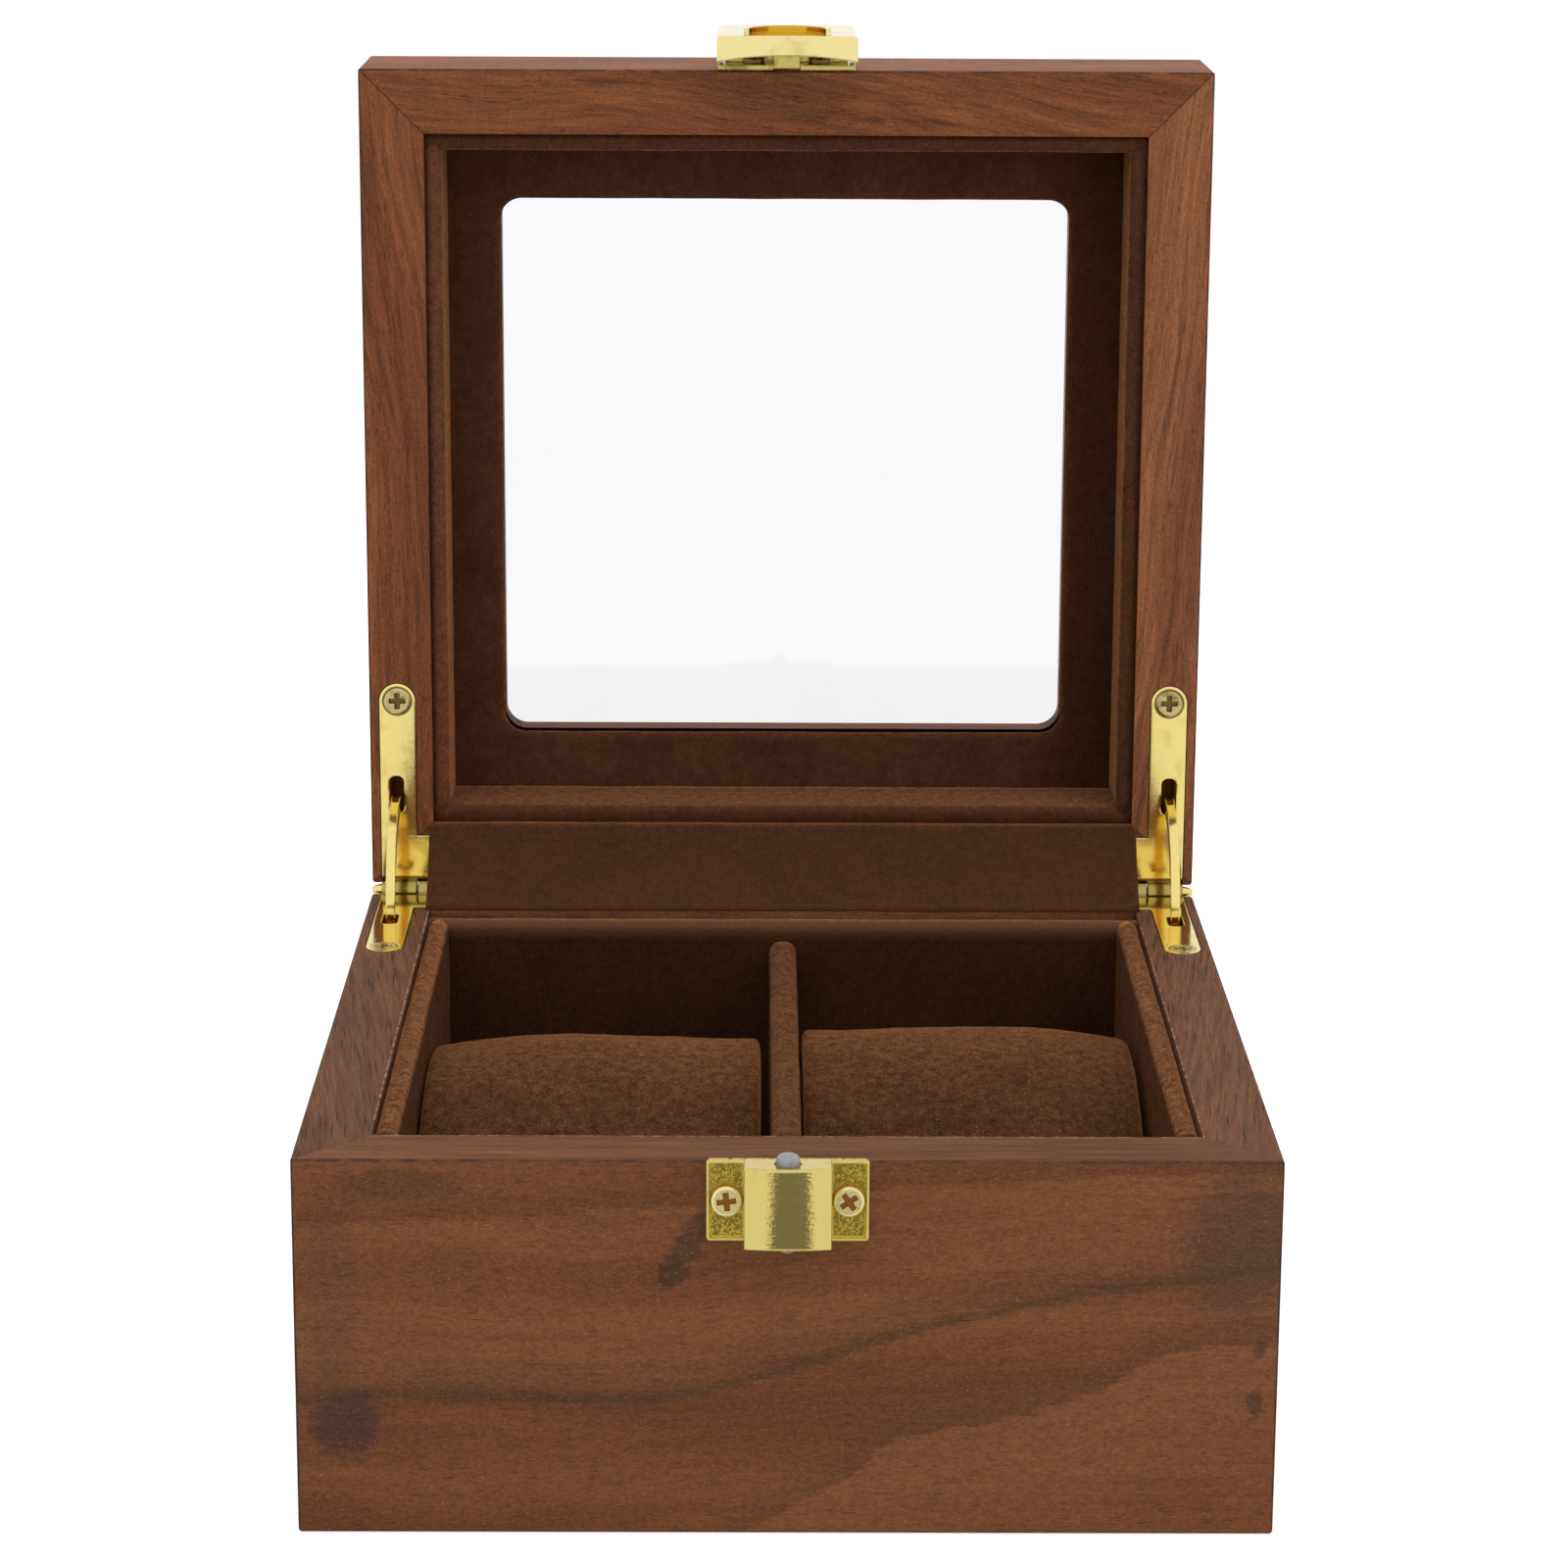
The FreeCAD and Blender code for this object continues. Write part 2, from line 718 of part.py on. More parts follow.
def build_keeper():
    half = keeper_width / 2
    plate = block(-half, half, front_y - keeper_plate, front_y, keeper_bottom, keeper_top)
    plate = plate.makeFillet(keeper_corner, edges_along(plate, Y_AXIS))
    plate = plate.makeFillet(keeper_edge_round, edges_in_front_plane(plate, front_y - keeper_plate))
    for x0, x1 in ((-half + keeper_border, -housing_width / 2), (housing_width / 2, half - keeper_border)):
        field = block(
            x0,
            x1,
            front_y - keeper_plate,
            front_y - keeper_plate + keeper_field_depth,
            keeper_bottom + keeper_border,
            keeper_top - keeper_border,
        )
        plate = plate.cut(field)
    side = housing_width / 2
    shoulder_y = front_y - housing_reach + housing_crown
    corner = Vector(-side, front_y, keeper_bottom)
    shoulder = Vector(-side, shoulder_y, keeper_bottom)
    crown = Vector(0, front_y - housing_reach, keeper_bottom)
    far_shoulder = Vector(side, shoulder_y, keeper_bottom)
    far_corner = Vector(side, front_y, keeper_bottom)
    edges = [line(corner, shoulder), arc(shoulder, crown, far_shoulder)]
    edges += [line(far_shoulder, far_corner), line(far_corner, corner)]
    housing = extruded(edges, Z_AXIS * keeper_height)
    front_edges = [e for e in housing.Edges if e.CenterOfMass.y < shoulder_y + TOUCH]
    housing = housing.makeFillet(housing_edge_round, front_edges)
    keeper = plate.fuse(housing)
    seat = Vector(0, plunger_y, keeper_bottom + housing_floor)
    keeper = keeper.cut(rod(plunger_radius + plunger_clearance, seat, Vector(0, plunger_y, keeper_top)))
    keeper = keeper.cut(rod(stem_radius + stem_clearance, Vector(0, plunger_y, keeper_bottom), seat))
    places = keeper_screw_places()
    for place in places:
        keeper = keeper.cut(screw_hole(place, Y_AXIS, keeper_plate))
    add("latch_keeper", keeper.removeSplitter())
    screws = []
    for place, turn in zip(places, (left_screw_turn, right_screw_turn)):
        side = Vector(math.cos(math.radians(turn)), 0, math.sin(math.radians(turn)))
        screws.append(pan_screw(place, Y_AXIS, side, pan_head_radius, keeper_screw_length))
    add("keeper_screws", *screws)
    return [screw_hole(place, Y_AXIS, keeper_screw_length) for place in places]


def build_plunger():
    head_bottom = keeper_top - plunger_grip
    top = keeper_top + plunger_rise
    head = rod(plunger_radius, Vector(0, plunger_y, head_bottom), Vector(0, plunger_y, top))
    rim = [e for e in head.Edges if e.CenterOfMass.z > top - TOUCH]
    head = head.makeFillet(plunger_dome, rim)
    stem_end = Vector(0, plunger_y, keeper_bottom - stem_drop)
    stem = rod(stem_radius, stem_end, Vector(0, plunger_y, head_bottom))
    add("plunger", head.fuse(stem))
    spring_low = keeper_bottom + housing_floor + spring_wire_radius + spring_end_gap
    spring_high = head_bottom - spring_wire_radius - spring_end_gap
    pitch = (spring_high - spring_low) / plunger_spring_turns
    start = Vector(0, plunger_y, spring_low)
    add("plunger_spring", coil(start, Z_AXIS, X_AXIS, pitch, plunger_spring_turns))


def build_lever():
    half = lever_width / 2
    plate = block(-half, half, lever_outer_y, lever_inner_y, lip_bottom, lever_top)
    far_corners = [e for e in edges_along(plate, Y_AXIS) if e.CenterOfMass.z > lever_top - TOUCH]
    plate = plate.makeFillet(lever_corner, far_corners)
    lip_end = front_y - lip_offset
    near_left = Vector(-half, lever_inner_y, lip_bottom)
    near_right = Vector(half, lever_inner_y, lip_bottom)
    end_left = Vector(-half, lip_end, lip_bottom)
    end_right = Vector(half, lip_end, lip_bottom)
    arch = Vector(0, lip_end - lip_arch, lip_bottom)
    edges = [line(near_left, end_left), arc(end_left, arch, end_right)]
    edges += [line(end_right, near_right), line(near_right, near_left)]
    lever = plate.fuse(extruded(edges, Z_AXIS * lip_thickness)).removeSplitter()
    lever = lever.makeFillet(lever_edge_round, edges_in_front_plane(lever, lever_outer_y))
    dish_z = lip_bottom + dish_setback
    base = Vector(0, lever_outer_y, dish_z)
    crest = Vector(0, lever_outer_y - dish_height, dish_z)
    ring = rod(dish_radius, base, crest).cut(rod(dish_radius - dish_wall, base, crest))
    far_half = block(-dish_radius, dish_radius, crest.y, base.y, dish_z, dish_z + dish_radius)
    lever = lever.fuse(ring.common(far_half))
    for x0, x1 in ((-half, -half + ear_thickness), (half - ear_thickness, half)):
        ear_low = pivot_z - lever_ear_radius
        ear_high = pivot_z + lever_ear_radius
        arm = block(x0, x1, lever_inner_y, pivot_y, ear_low, ear_high)
        eye = rod(lever_ear_radius, Vector(x0, pivot_y, pivot_z), Vector(x1, pivot_y, pivot_z))
        lever = lever.fuse(arm).fuse(eye)
    bore = pivot_radius + pivot_clearance
    lever = lever.cut(rod(bore, Vector(-half, pivot_y, pivot_z), Vector(half, pivot_y, pivot_z)))
    add("latch_lever", opened(lever.removeSplitter()))
    pin = rod(pivot_radius, Vector(-half, pivot_y, pivot_z), Vector(half, pivot_y, pivot_z))
    add("latch_pivot_pin", opened(pin))


def build_latch_plate():
    half = latch_plate_width / 2
    face_y = front_y - latch_plate_thickness
    top = lid_bottom + latch_plate_height
    plate = block(-half, half, face_y, front_y, lid_bottom, top)
    corners = [e for e in edges_along(plate, Y_AXIS) if e.CenterOfMass.z > top - TOUCH]
    plate = plate.makeFillet(latch_plate_corner, corners)
    tab_bottom = keeper_top + plunger_rise + tab_clearance
    tab_top = tab_bottom + latch_plate_thickness
    notch = tab_width / 2 + tab_side_gap
    plate = plate.cut(block(-notch, notch, face_y, front_y, lid_bottom, tab_bottom))
    tab = block(-tab_width / 2, tab_width / 2, front_y - tab_reach, front_y, tab_bottom, tab_top)
    plate = plate.fuse(tab)
    ear_end = lever_width / 2 - ear_thickness - ear_gap
    for x0, x1 in ((-ear_end, -knuckle_spring_gap), (knuckle_spring_gap, ear_end)):
        arm = block(x0, x1, pivot_y, face_y, pivot_z - ear_radius, pivot_z + ear_radius)
        eye = rod(ear_radius, Vector(x0, pivot_y, pivot_z), Vector(x1, pivot_y, pivot_z))
        plate = plate.fuse(arm).fuse(eye)
    plate = plate.cut(rod(pivot_radius, Vector(-half, pivot_y, pivot_z), Vector(half, pivot_y, pivot_z)))
    screw_z = lid_bottom + plate_screw_above
    places = [Vector(x, face_y, screw_z) for x in (-plate_screw_spacing / 2, plate_screw_spacing / 2)]
    for place in places:
        plate = plate.cut(screw_hole(place, Y_AXIS, latch_plate_thickness))
    add("latch_plate", opened(plate.removeSplitter()))
    screws = [pan_screw(p, Y_AXIS, X_AXIS, plate_head_radius, keeper_screw_length) for p in places]
    add("latch_plate_screws", *[opened(screw) for screw in screws])
    width = latch_spring_turns * latch_spring_pitch
    start = Vector(-width / 2, pivot_y, pivot_z)
    spring = coil(start, X_AXIS, Z_AXIS, latch_spring_pitch, latch_spring_turns)
    add("latch_spring", opened(spring))
    return [screw_hole(place, Y_AXIS, keeper_screw_length) for place in places]


def build():
    base_pockets = list(both_sides(leaf_pocket()).values())
    lid_pockets = [flipped_to_lid(pocket) for pocket in base_pockets]
    keeper_holes = build_keeper()
    plate_holes = build_latch_plate()
    build_base_walls(base_pockets, keeper_holes)
    build_bottom()
    build_base_linings()
    build_cushions()
    build_lid_wood(lid_pockets, plate_holes)
    build_lid_window()
    build_lid_linings()
    build_hinges()
    build_cloth()
    build_plunger()
    build_lever()


build()
os.makedirs("parts", exist_ok=True)
for name, shape in nodes.items():
    if not shape.isValid():
        print("not valid:", name)
    shape.exportStep(f"parts/{name}.step")
print(len(nodes), "nodes")
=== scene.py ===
import math

import bmesh
import bpy
import numpy as np
from mathutils import Matrix, Vector, noise


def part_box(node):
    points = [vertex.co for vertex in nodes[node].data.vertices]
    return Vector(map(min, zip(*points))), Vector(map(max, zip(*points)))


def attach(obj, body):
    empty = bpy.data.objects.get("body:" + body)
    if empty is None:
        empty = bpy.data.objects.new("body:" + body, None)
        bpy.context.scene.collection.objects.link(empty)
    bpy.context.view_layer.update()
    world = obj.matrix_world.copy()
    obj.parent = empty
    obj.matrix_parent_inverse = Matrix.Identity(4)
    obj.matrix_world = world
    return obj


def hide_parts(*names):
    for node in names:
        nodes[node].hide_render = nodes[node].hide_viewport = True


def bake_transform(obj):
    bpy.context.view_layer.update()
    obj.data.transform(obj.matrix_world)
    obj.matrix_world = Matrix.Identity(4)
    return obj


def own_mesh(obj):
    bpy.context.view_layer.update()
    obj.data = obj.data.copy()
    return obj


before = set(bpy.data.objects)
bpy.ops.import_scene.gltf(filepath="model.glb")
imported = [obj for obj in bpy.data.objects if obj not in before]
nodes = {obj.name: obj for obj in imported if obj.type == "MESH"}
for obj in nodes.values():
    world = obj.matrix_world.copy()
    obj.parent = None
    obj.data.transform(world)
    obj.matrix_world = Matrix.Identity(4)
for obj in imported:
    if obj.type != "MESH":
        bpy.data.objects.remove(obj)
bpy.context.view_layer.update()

MM = 0.001

# The box, in millimetres of the row frame with the lid open
BOX_WIDTH = 130
BASE_TOP = 52.5
INNER_X = 55.2
INNER_Y = 54.2
MITRE_SHIFT = 1.0
LID_CENTRE_Z = 117.8
WINDOW_HALF = (44.5, 42.75)
WINDOW_CORNER = 3.4

# The fittings
HINGE_Y = 65.0
HINGE_Z = 52.8
BARREL = 1.5
LEAF_INNER = 57.8
LEAF_SCREW = (60.6, 83.4)
POCKET_X = LEAF_SCREW[0] + 0.3
BASE_POCKET = (62.0, 51.2)
LID_POCKET = (66.4, 54.3)
DISH = (0.0, 53.75)
DISH_WALL = 5.7
DISH_TOP = 189.0

# The cloth over the hinge joint
CLOTH_GAP = 0.05
CLOTH_SLACK = 0.9
CLOTH_THICKNESS = 0.3

# The heights that the front board's figure lines can take
LINE_LOW = 10.0
LINE_SPAN = 70.0


class Tree:
    """A material's node tree, with short calls for the nodes this scene uses."""

    def __init__(self, name):
        self.material = bpy.data.materials.new(name)
        self.material.use_nodes = True
        self.nodes = self.material.node_tree.nodes
        self.links = self.material.node_tree.links
        self.shader = self.nodes["Principled BSDF"]

    def put(self, socket, value):
        """Link a socket to another one, or set its constant."""
        if isinstance(value, bpy.types.NodeSocket):
            self.links.new(value, socket)
        else:
            socket.default_value = value

    def add(self, kind, *values, **settings):
        node = self.nodes.new("ShaderNode" + kind)
        for key, value in settings.items():
            setattr(node, key, value)
        for socket, value in zip(node.inputs, values):
            self.put(socket, value)
        return node

    def coords(self, output):
        return self.add("TexCoord").outputs[output]

    def math(self, operation, a, b=0.0, clamp=False):
        return self.add("Math", a, b, operation=operation, use_clamp=clamp).outputs[0]

    def times(self, *values):
        product = values[0]
        for value in values[1:]:
            product = self.math("MULTIPLY", product, value)
        return product

    def vector(self, operation, a, b):
        node = self.add("VectorMath", a, b, operation=operation)
        return node.outputs["Value" if operation == "DISTANCE" else "Vector"]

    def scaled(self, vector, factor):
        return self.vector("MULTIPLY", vector, (factor, factor, factor))

    def split(self, vector):
        return self.add("SeparateXYZ", vector).outputs

    def join(self, x, y, z):
        return self.add("CombineXYZ", x, y, z).outputs[0]

    def turned(self, vector, location, degrees):
        turn = tuple(math.radians(d) for d in degrees)
        return self.add("Mapping", vector, location, turn, vector_type="POINT").outputs[0]

    def noise(self, vector, detail=2.0, roughness=0.5, colour=False):
        node = self.add("TexNoise")
        self.put(node.inputs["Vector"], vector)
        node.inputs["Scale"].default_value = 1.0
        node.inputs["Detail"].default_value = detail
        node.inputs["Roughness"].default_value = roughness
        return node.outputs[1 if colour else 0]

    def cells(self, vector, dimensions):
        """Distance to the nearest of scattered points, and a random number for that point."""
        node = self.add("TexVoronoi", voronoi_dimensions=dimensions)
        self.put(node.inputs["Vector"], vector)
        node.inputs["Scale"].default_value = 1.0
        return node.outputs["Distance"], self.add("SeparateColor", node.outputs["Color"]).outputs[0]

    def spots(self, vector, inner, outer, share, dimensions="3D"):
        """Soft round spots, kept at a share of the scattered points."""
        distance, chance = self.cells(vector, dimensions)
        return self.times(self.fade(distance, outer, inner), self.math("LESS_THAN", chance, share))

    def fade(self, value, start, end, low=0.0, high=1.0):
        """A smooth step from low at start to high at end."""
        node = self.add("MapRange", interpolation_type="SMOOTHSTEP")
        if start > end:
            start, end, low, high = end, start, high, low
        for socket, number in zip(node.inputs, (value, start, end, low, high)):
            self.put(socket, number)
        return node.outputs[0]

    def mix(self, factor, a, b, blend="MIX"):
        node = self.add("Mix", data_type="RGBA", blend_type=blend)
        self.put(node.inputs[0], factor)
        for socket, value in ((node.inputs[6], a), (node.inputs[7], b)):
            self.put(socket, (*value, 1.0) if isinstance(value, tuple) else value)
        return node.outputs[2]

    def colours(self, value, *stops):
        node = self.add("ValToRGB", value)
        elements = node.color_ramp.elements
        while len(elements) < len(stops):
            elements.new(0.5)
        for element, (position, colour) in zip(elements, stops):
            element.position = position
            element.color = (*colour, 1.0)
        return node.outputs[0]

    def curve(self, value, points):
        """A smooth curve through points, from 0 to 1 both ways."""
        node = self.add("FloatCurve")
        self.put(node.inputs["Value"], value)
        line = node.mapping.curves[0].points
        while len(line) < len(points):
            line.new(0.5, 0.5)
        for point, place in zip(line, points):
            point.location = place
        node.mapping.update()
        return node.outputs[0]

    def bump(self, height, distance_mm, strength=1.0, eased_mm=0.0):
        node = self.add("Bump")
        if eased_mm:
            edges = self.add("Bevel", eased_mm * MM, samples=4)
            self.put(node.inputs["Normal"], edges.outputs[0])
        node.inputs["Strength"].default_value = strength
        node.inputs["Distance"].default_value = distance_mm * MM
        self.put(node.inputs["Height"], height)
        self.put(self.shader.inputs["Normal"], node.outputs[0])

    def finish(self, colour, roughness, **constants):
        self.put(self.shader.inputs["Base Color"], colour)
        self.put(self.shader.inputs["Roughness"], roughness)
        for key, value in constants.items():
            self.shader.inputs[key.replace("_", " ")].default_value = value
        return self.material


def front_figure(t, colour, x, z, wander):
    """The front board's own figure: a dark growth line, a lighter sweep below it and a few stains."""
    across = t.math("MULTIPLY_ADD", x, 1 / BOX_WIDTH)
    across.node.inputs[2].default_value = 0.5
    feather = t.noise(t.join(t.times(x, 0.13), 0.0, t.times(z, 1.5)), 3.0, 0.6)
    feather = t.times(t.math("SUBTRACT", feather, 0.5), 3.0)
    height = t.math("ADD", t.math("ADD", z, wander), feather)

    def above(points):
        """Height over a line across the board, drawn through points of share across and height."""
        level = t.curve(across, [(a, (b + LINE_LOW) / LINE_SPAN) for a, b in points])
        return t.math("SUBTRACT", height, t.math("SUBTRACT", t.math("MULTIPLY", level, LINE_SPAN), LINE_LOW))

    dark = above([(0.0, 18.5), (0.19, 19.1), (0.35, 18.9), (0.46, 21.4), (0.55, 25.4), (0.65, 29.3),
                  (0.75, 32.3), (0.85, 34.6), (1.0, 37.5)])
    band = t.times(t.fade(dark, 8.0, 0.5), t.fade(dark, -0.5, 0.4))
    colour = t.mix(t.times(band, 0.26), colour, (0.085, 0.042, 0.022))
    core = t.fade(t.math("ABSOLUTE", t.math("SUBTRACT", dark, 0.5)), 1.5, 0.1)
    colour = t.mix(t.times(core, 0.48), colour, (0.058, 0.036, 0.018))
    sweep = above([(0.0, -9.0), (0.35, -6.0), (0.45, 0.1), (0.52, 5.2), (0.57, 8.8), (0.605, 13.2),
                   (0.65, 14.8), (0.72, 16.2), (0.815, 19.9), (0.87, 24.5), (0.915, 26.3), (1.0, 27.2)])
    pale = t.times(t.fade(sweep, -26.0, -0.6), t.fade(sweep, 0.3, -0.4))
    colour = t.mix(t.times(pale, 0.62), colour, (0.222, 0.088, 0.036))
    shade = t.times(t.fade(sweep, 6.0, 0.5), t.fade(sweep, -0.2, 0.5), t.fade(across, 0.36, 0.5))
    colour = t.mix(t.times(shade, 0.30), colour, (0.092, 0.048, 0.022))
    top = above([(0.0, 43.2), (0.13, 44.0), (0.26, 44.9), (0.39, 46.1), (0.6, 49.0), (0.8, 50.2),
                 (1.0, 50.4)])
    streak = t.times(t.fade(top, -5.5, -0.5), t.fade(top, 0.2, -0.4))
    colour = t.mix(t.times(streak, 0.40), colour, (0.200, 0.080, 0.028))
    cap = t.times(t.fade(top, 6.0, 0.3), t.fade(top, -0.2, 0.4))
    colour = t.mix(t.times(cap, 0.45), colour, (0.118, 0.044, 0.016))
    stains = [
        ((-58.3, 15.5), (5.0, 4.8), 0.0, 0.7, 0.88, (0.080, 0.032, 0.024)),
        ((-13.0, 40.6), (1.9, 6.2), 33.0, 1.1, 0.66, (0.060, 0.031, 0.018)),
        ((-15.2, 36.6), (2.3, 1.8), 0.0, 1.2, 0.55, (0.052, 0.028, 0.017)),
        ((-60.0, 33.0), (3.5, 14.0), 0.0, 0.6, 0.25, (0.100, 0.050, 0.034)),
        ((59.5, 41.0), (7.5, 10.5), 10.0, 0.6, 0.6, (0.086, 0.046, 0.029)),
        ((62.0, 18.6), (1.1, 2.2), 0.0, 1.2, 0.65, (0.060, 0.034, 0.024)),
        ((62.5, 26.5), (0.9, 1.6), 20.0, 1.2, 0.55, (0.060, 0.034, 0.024)),
        ((-51.0, 49.0), (8.0, 2.2), 0.0, 0.8, 0.5, (0.072, 0.034, 0.019)),
    ]
    tear = t.math("SUBTRACT", t.noise(t.join(t.times(x, 0.4), 0.0, t.times(z, 0.75)), 4.0, 0.65), 0.5)
    for (cx, cz), (rx, rz), lean, torn, strength, tint in stains:
        c, s = math.cos(math.radians(lean)), math.sin(math.radians(lean))
        dx = t.math("SUBTRACT", x, cx)
        dz = t.math("SUBTRACT", z, cz)
        a = t.math("ADD", t.times(dx, c / rx), t.times(dz, -s / rx))
        b = t.math("ADD", t.times(dx, s / rz), t.times(dz, c / rz))
        reach = t.math("SQRT", t.math("ADD", t.times(a, a), t.times(b, b)))
        ragged = t.math("ADD", reach, t.times(tear, 2 * torn))
        colour = t.mix(t.times(t.fade(ragged, 1.25, 0.65), strength), colour, tint)
    return colour


def walnut(name, along, seed, turn=(0, 0, 0), tone=(1, 1, 1), pores=0.5, veins=0.3, ticks=0.0, glints_and_fibre_chips=0.0,
           calm=0.0, lid=False, figure=False):
    """Oiled walnut as a solid texture whose grain runs along one axis of the box.

    It darkens at edges and mitres, takes a painted grey sheen on rims that face up, has painted glints as
    pale specks and along the rims' inner top edges, and is gilt inside the stay arms' pockets.
    """
    t = Tree(name)
    x, y, z = t.split(t.scaled(t.coords("Object"), 1 / MM))
    u, v, w = {"X": (x, y, z), "Y": (y, x, z), "Z": (z, x, y)}[along]
    grain = t.turned(t.join(u, v, w), seed, turn)
    drift = t.noise(t.vector("MULTIPLY", grain, (0.012, 0.03, 0.03)), 2.0, colour=True)
    drift = t.vector("SUBTRACT", drift, (0.5, 0.5, 0.5))
    bent = t.vector("ADD", grain, t.vector("MULTIPLY", drift, (0.0, 14.0, 14.0)))
    rings = t.noise(t.vector("MULTIPLY", bent, (0.006, 0.12, 0.12)), 3.0)
    streaks = t.noise(t.vector("MULTIPLY", bent, (0.03, 0.9, 0.9)), 4.0, 0.6)
    fibres = t.noise(t.vector("MULTIPLY", bent, (0.16, 5.0, 5.0)), 3.0, 0.6)
    colour = t.colours(
        rings,
        (0.30, (0.125, 0.045, 0.019)),
        (0.50, (0.160, 0.060, 0.026)),
        (0.72, (0.190, 0.076, 0.033)),
    )
    colour = t.mix(1.0, colour, tone, "MULTIPLY")
    if figure:
        wander = t.noise(t.vector("MULTIPLY", grain, (0.03, 0.06, 0.06)), 2.0)
        wander = t.times(t.math("SUBTRACT", wander, 0.5), 2.0)
        colour = front_figure(t, colour, x, z, wander)
    wild = 1 - calm
    colour = t.mix(1.0, colour, t.fade(streaks, 0.25, 0.75, 1 - 0.26 * wild, 1 + 0.22 * wild), "MULTIPLY")
    colour = t.mix(1.0, colour, t.fade(fibres, 0.25, 0.75, 1 - 0.24 * wild, 1 + 0.22 * wild), "MULTIPLY")
    dust = t.noise(t.vector("MULTIPLY", grain, (1.6, 3.2, 3.2)), 2.0, 0.7)
    colour = t.mix(1.0, colour, t.fade(dust, 0.28, 0.72, 0.78, 1.20), "MULTIPLY")
    scratch = t.spots(t.vector("MULTIPLY", bent, (0.7, 4.2, 4.2)), 0.10, 0.36, 0.30)
    colour = t.mix(t.times(scratch, 0.45), colour, (0.055, 0.025, 0.013))
    vein = t.fade(t.noise(t.vector("MULTIPLY", bent, (0.05, 0.75, 0.75)), 2.0), 0.56, 0.70)
    colour = t.mix(t.times(vein, veins), colour, (0.070, 0.028, 0.014))
    pore = t.spots(t.vector("MULTIPLY", bent, (0.26, 2.3, 2.3)), 0.12, 0.34, 0.42)
    colour = t.mix(t.times(pore, pores), colour, (0.040, 0.017, 0.010))
    # Painted glints: pale golden specks that stand in for tiny highlights on the oiled grain.
    wood_glint = t.spots(t.vector("MULTIPLY", bent, (1.5, 2.2, 2.2)), 0.05, 0.20, 0.30)
    colour = t.mix(t.times(wood_glint, 0.75), colour, (0.42, 0.23, 0.10))
    nx, ny, nz = [t.math("ABSOLUTE", n) for n in t.split(t.coords("Normal"))]
    flat = t.math("MAXIMUM", nx, t.math("MAXIMUM", ny, nz))
    # Edges darken, more in some patches than in others.
    patchiness = t.fade(t.noise(t.scaled(grain, 0.35), 3.0), 0.35, 0.65)
    edge = t.times(t.fade(flat, 0.985, 0.93), t.fade(patchiness, 0.0, 1.0, 0.35, 0.85))
    colour = t.mix(edge, colour, (0.050, 0.024, 0.016))
    far = t.math("ABSOLUTE", t.math("SUBTRACT", z, LID_CENTRE_Z) if lid else y)
    gap = t.math("SUBTRACT", t.math("SUBTRACT", t.math("ABSOLUTE", x), far), MITRE_SHIFT)
    mitre = t.fade(t.math("ABSOLUTE", gap), 0.22, 0.08)
    colour = t.mix(t.times(mitre, 0.7), colour, (0.040, 0.020, 0.013))
    t.shader.inputs["Specular IOR Level"].default_value = 0.09
    if not lid:
        up = t.fade(t.split(t.coords("Normal"))[2], 0.9, 0.98)
        # Painted sheen: rims that face up are tinted grey for the white they reflect at a grazing view; the
        # combed streaks on them are grain.
        colour = t.mix(t.times(up, 0.45), colour, (0.112, 0.057, 0.036))
        combed = t.noise(t.vector("MULTIPLY", grain, (0.05, 1.6, 1.6)), 4.0, 0.7)
        colour = t.mix(up, colour, t.mix(1.0, colour, t.fade(combed, 0.3, 0.7, 0.70, 1.26), "MULTIPLY"))
        t.put(t.shader.inputs["Specular IOR Level"], t.fade(up, 0.0, 1.0, 0.09, 0.035))
    if ticks:
        gu, gv, gw = t.split(grain)
        over = t.math("ADD", gv, gw)
        slip = t.times(t.noise(t.join(0.0, t.times(over, 0.9), 5.0), 2.0), 60.0)
        lines = t.join(t.times(t.math("ADD", gu, slip), 0.075), t.times(over, 1.5), 0.0)
        patchy = t.fade(t.noise(t.scaled(grain, 0.05), 1.0), 0.38, 0.52, 0.25, 1.0)
        tick = t.times(t.spots(lines, 0.06, 0.27, 0.55, "2D"), patchy)
        colour = t.mix(t.times(tick, ticks), colour, (0.016, 0.008, 0.007))
    if glints_and_fibre_chips:
        # Painted highlight: pale dashes along the rims' inner top edges, where the sharp edge catches the
        # light.
        side = along == "Y"
        depth = t.math("SUBTRACT", t.math("ABSOLUTE", x if side else y), INNER_X if side else INNER_Y)
        lip = t.times(t.fade(depth, 0.34, 0.16), t.fade(z, BASE_TOP - 0.4, BASE_TOP - 0.2))
        dashed = t.fade(t.noise(t.vector("MULTIPLY", grain, (0.9, 0.4, 0.4)), 3.0, 0.7), 0.46, 0.58)
        colour = t.mix(t.times(lip, dashed, glints_and_fibre_chips), colour, (0.44, 0.31, 0.23))
    if lid:
        sunk = t.math("SUBTRACT", y, LID_POCKET[0])
        reach = t.math("SUBTRACT", z, LID_POCKET[1])
    else:
        sunk = t.math("SUBTRACT", BASE_POCKET[1], z)
        reach = t.math("SUBTRACT", BASE_POCKET[0], y)
    aside = t.math("ABSOLUTE", t.math("SUBTRACT", t.math("ABSOLUTE", x), POCKET_X))
    pocket = t.times(t.fade(aside, 2.0, 1.8), t.fade(sunk, 0.0, 0.1), t.fade(sunk, 16.0, 15.0),
                     t.fade(reach, 0.0, 0.1), t.fade(reach, 22.0, 21.0))
    colour = t.mix(pocket, colour, (0.85, 0.46, 0.12))
    height = t.math("SUBTRACT", t.times(fibres, 0.35), t.times(pore, 0.8))
    t.bump(height, 0.09, 0.6)
    roughness = t.fade(streaks, 0.2, 0.8, 0.46, 0.62)
    return t.finish(colour, roughness)


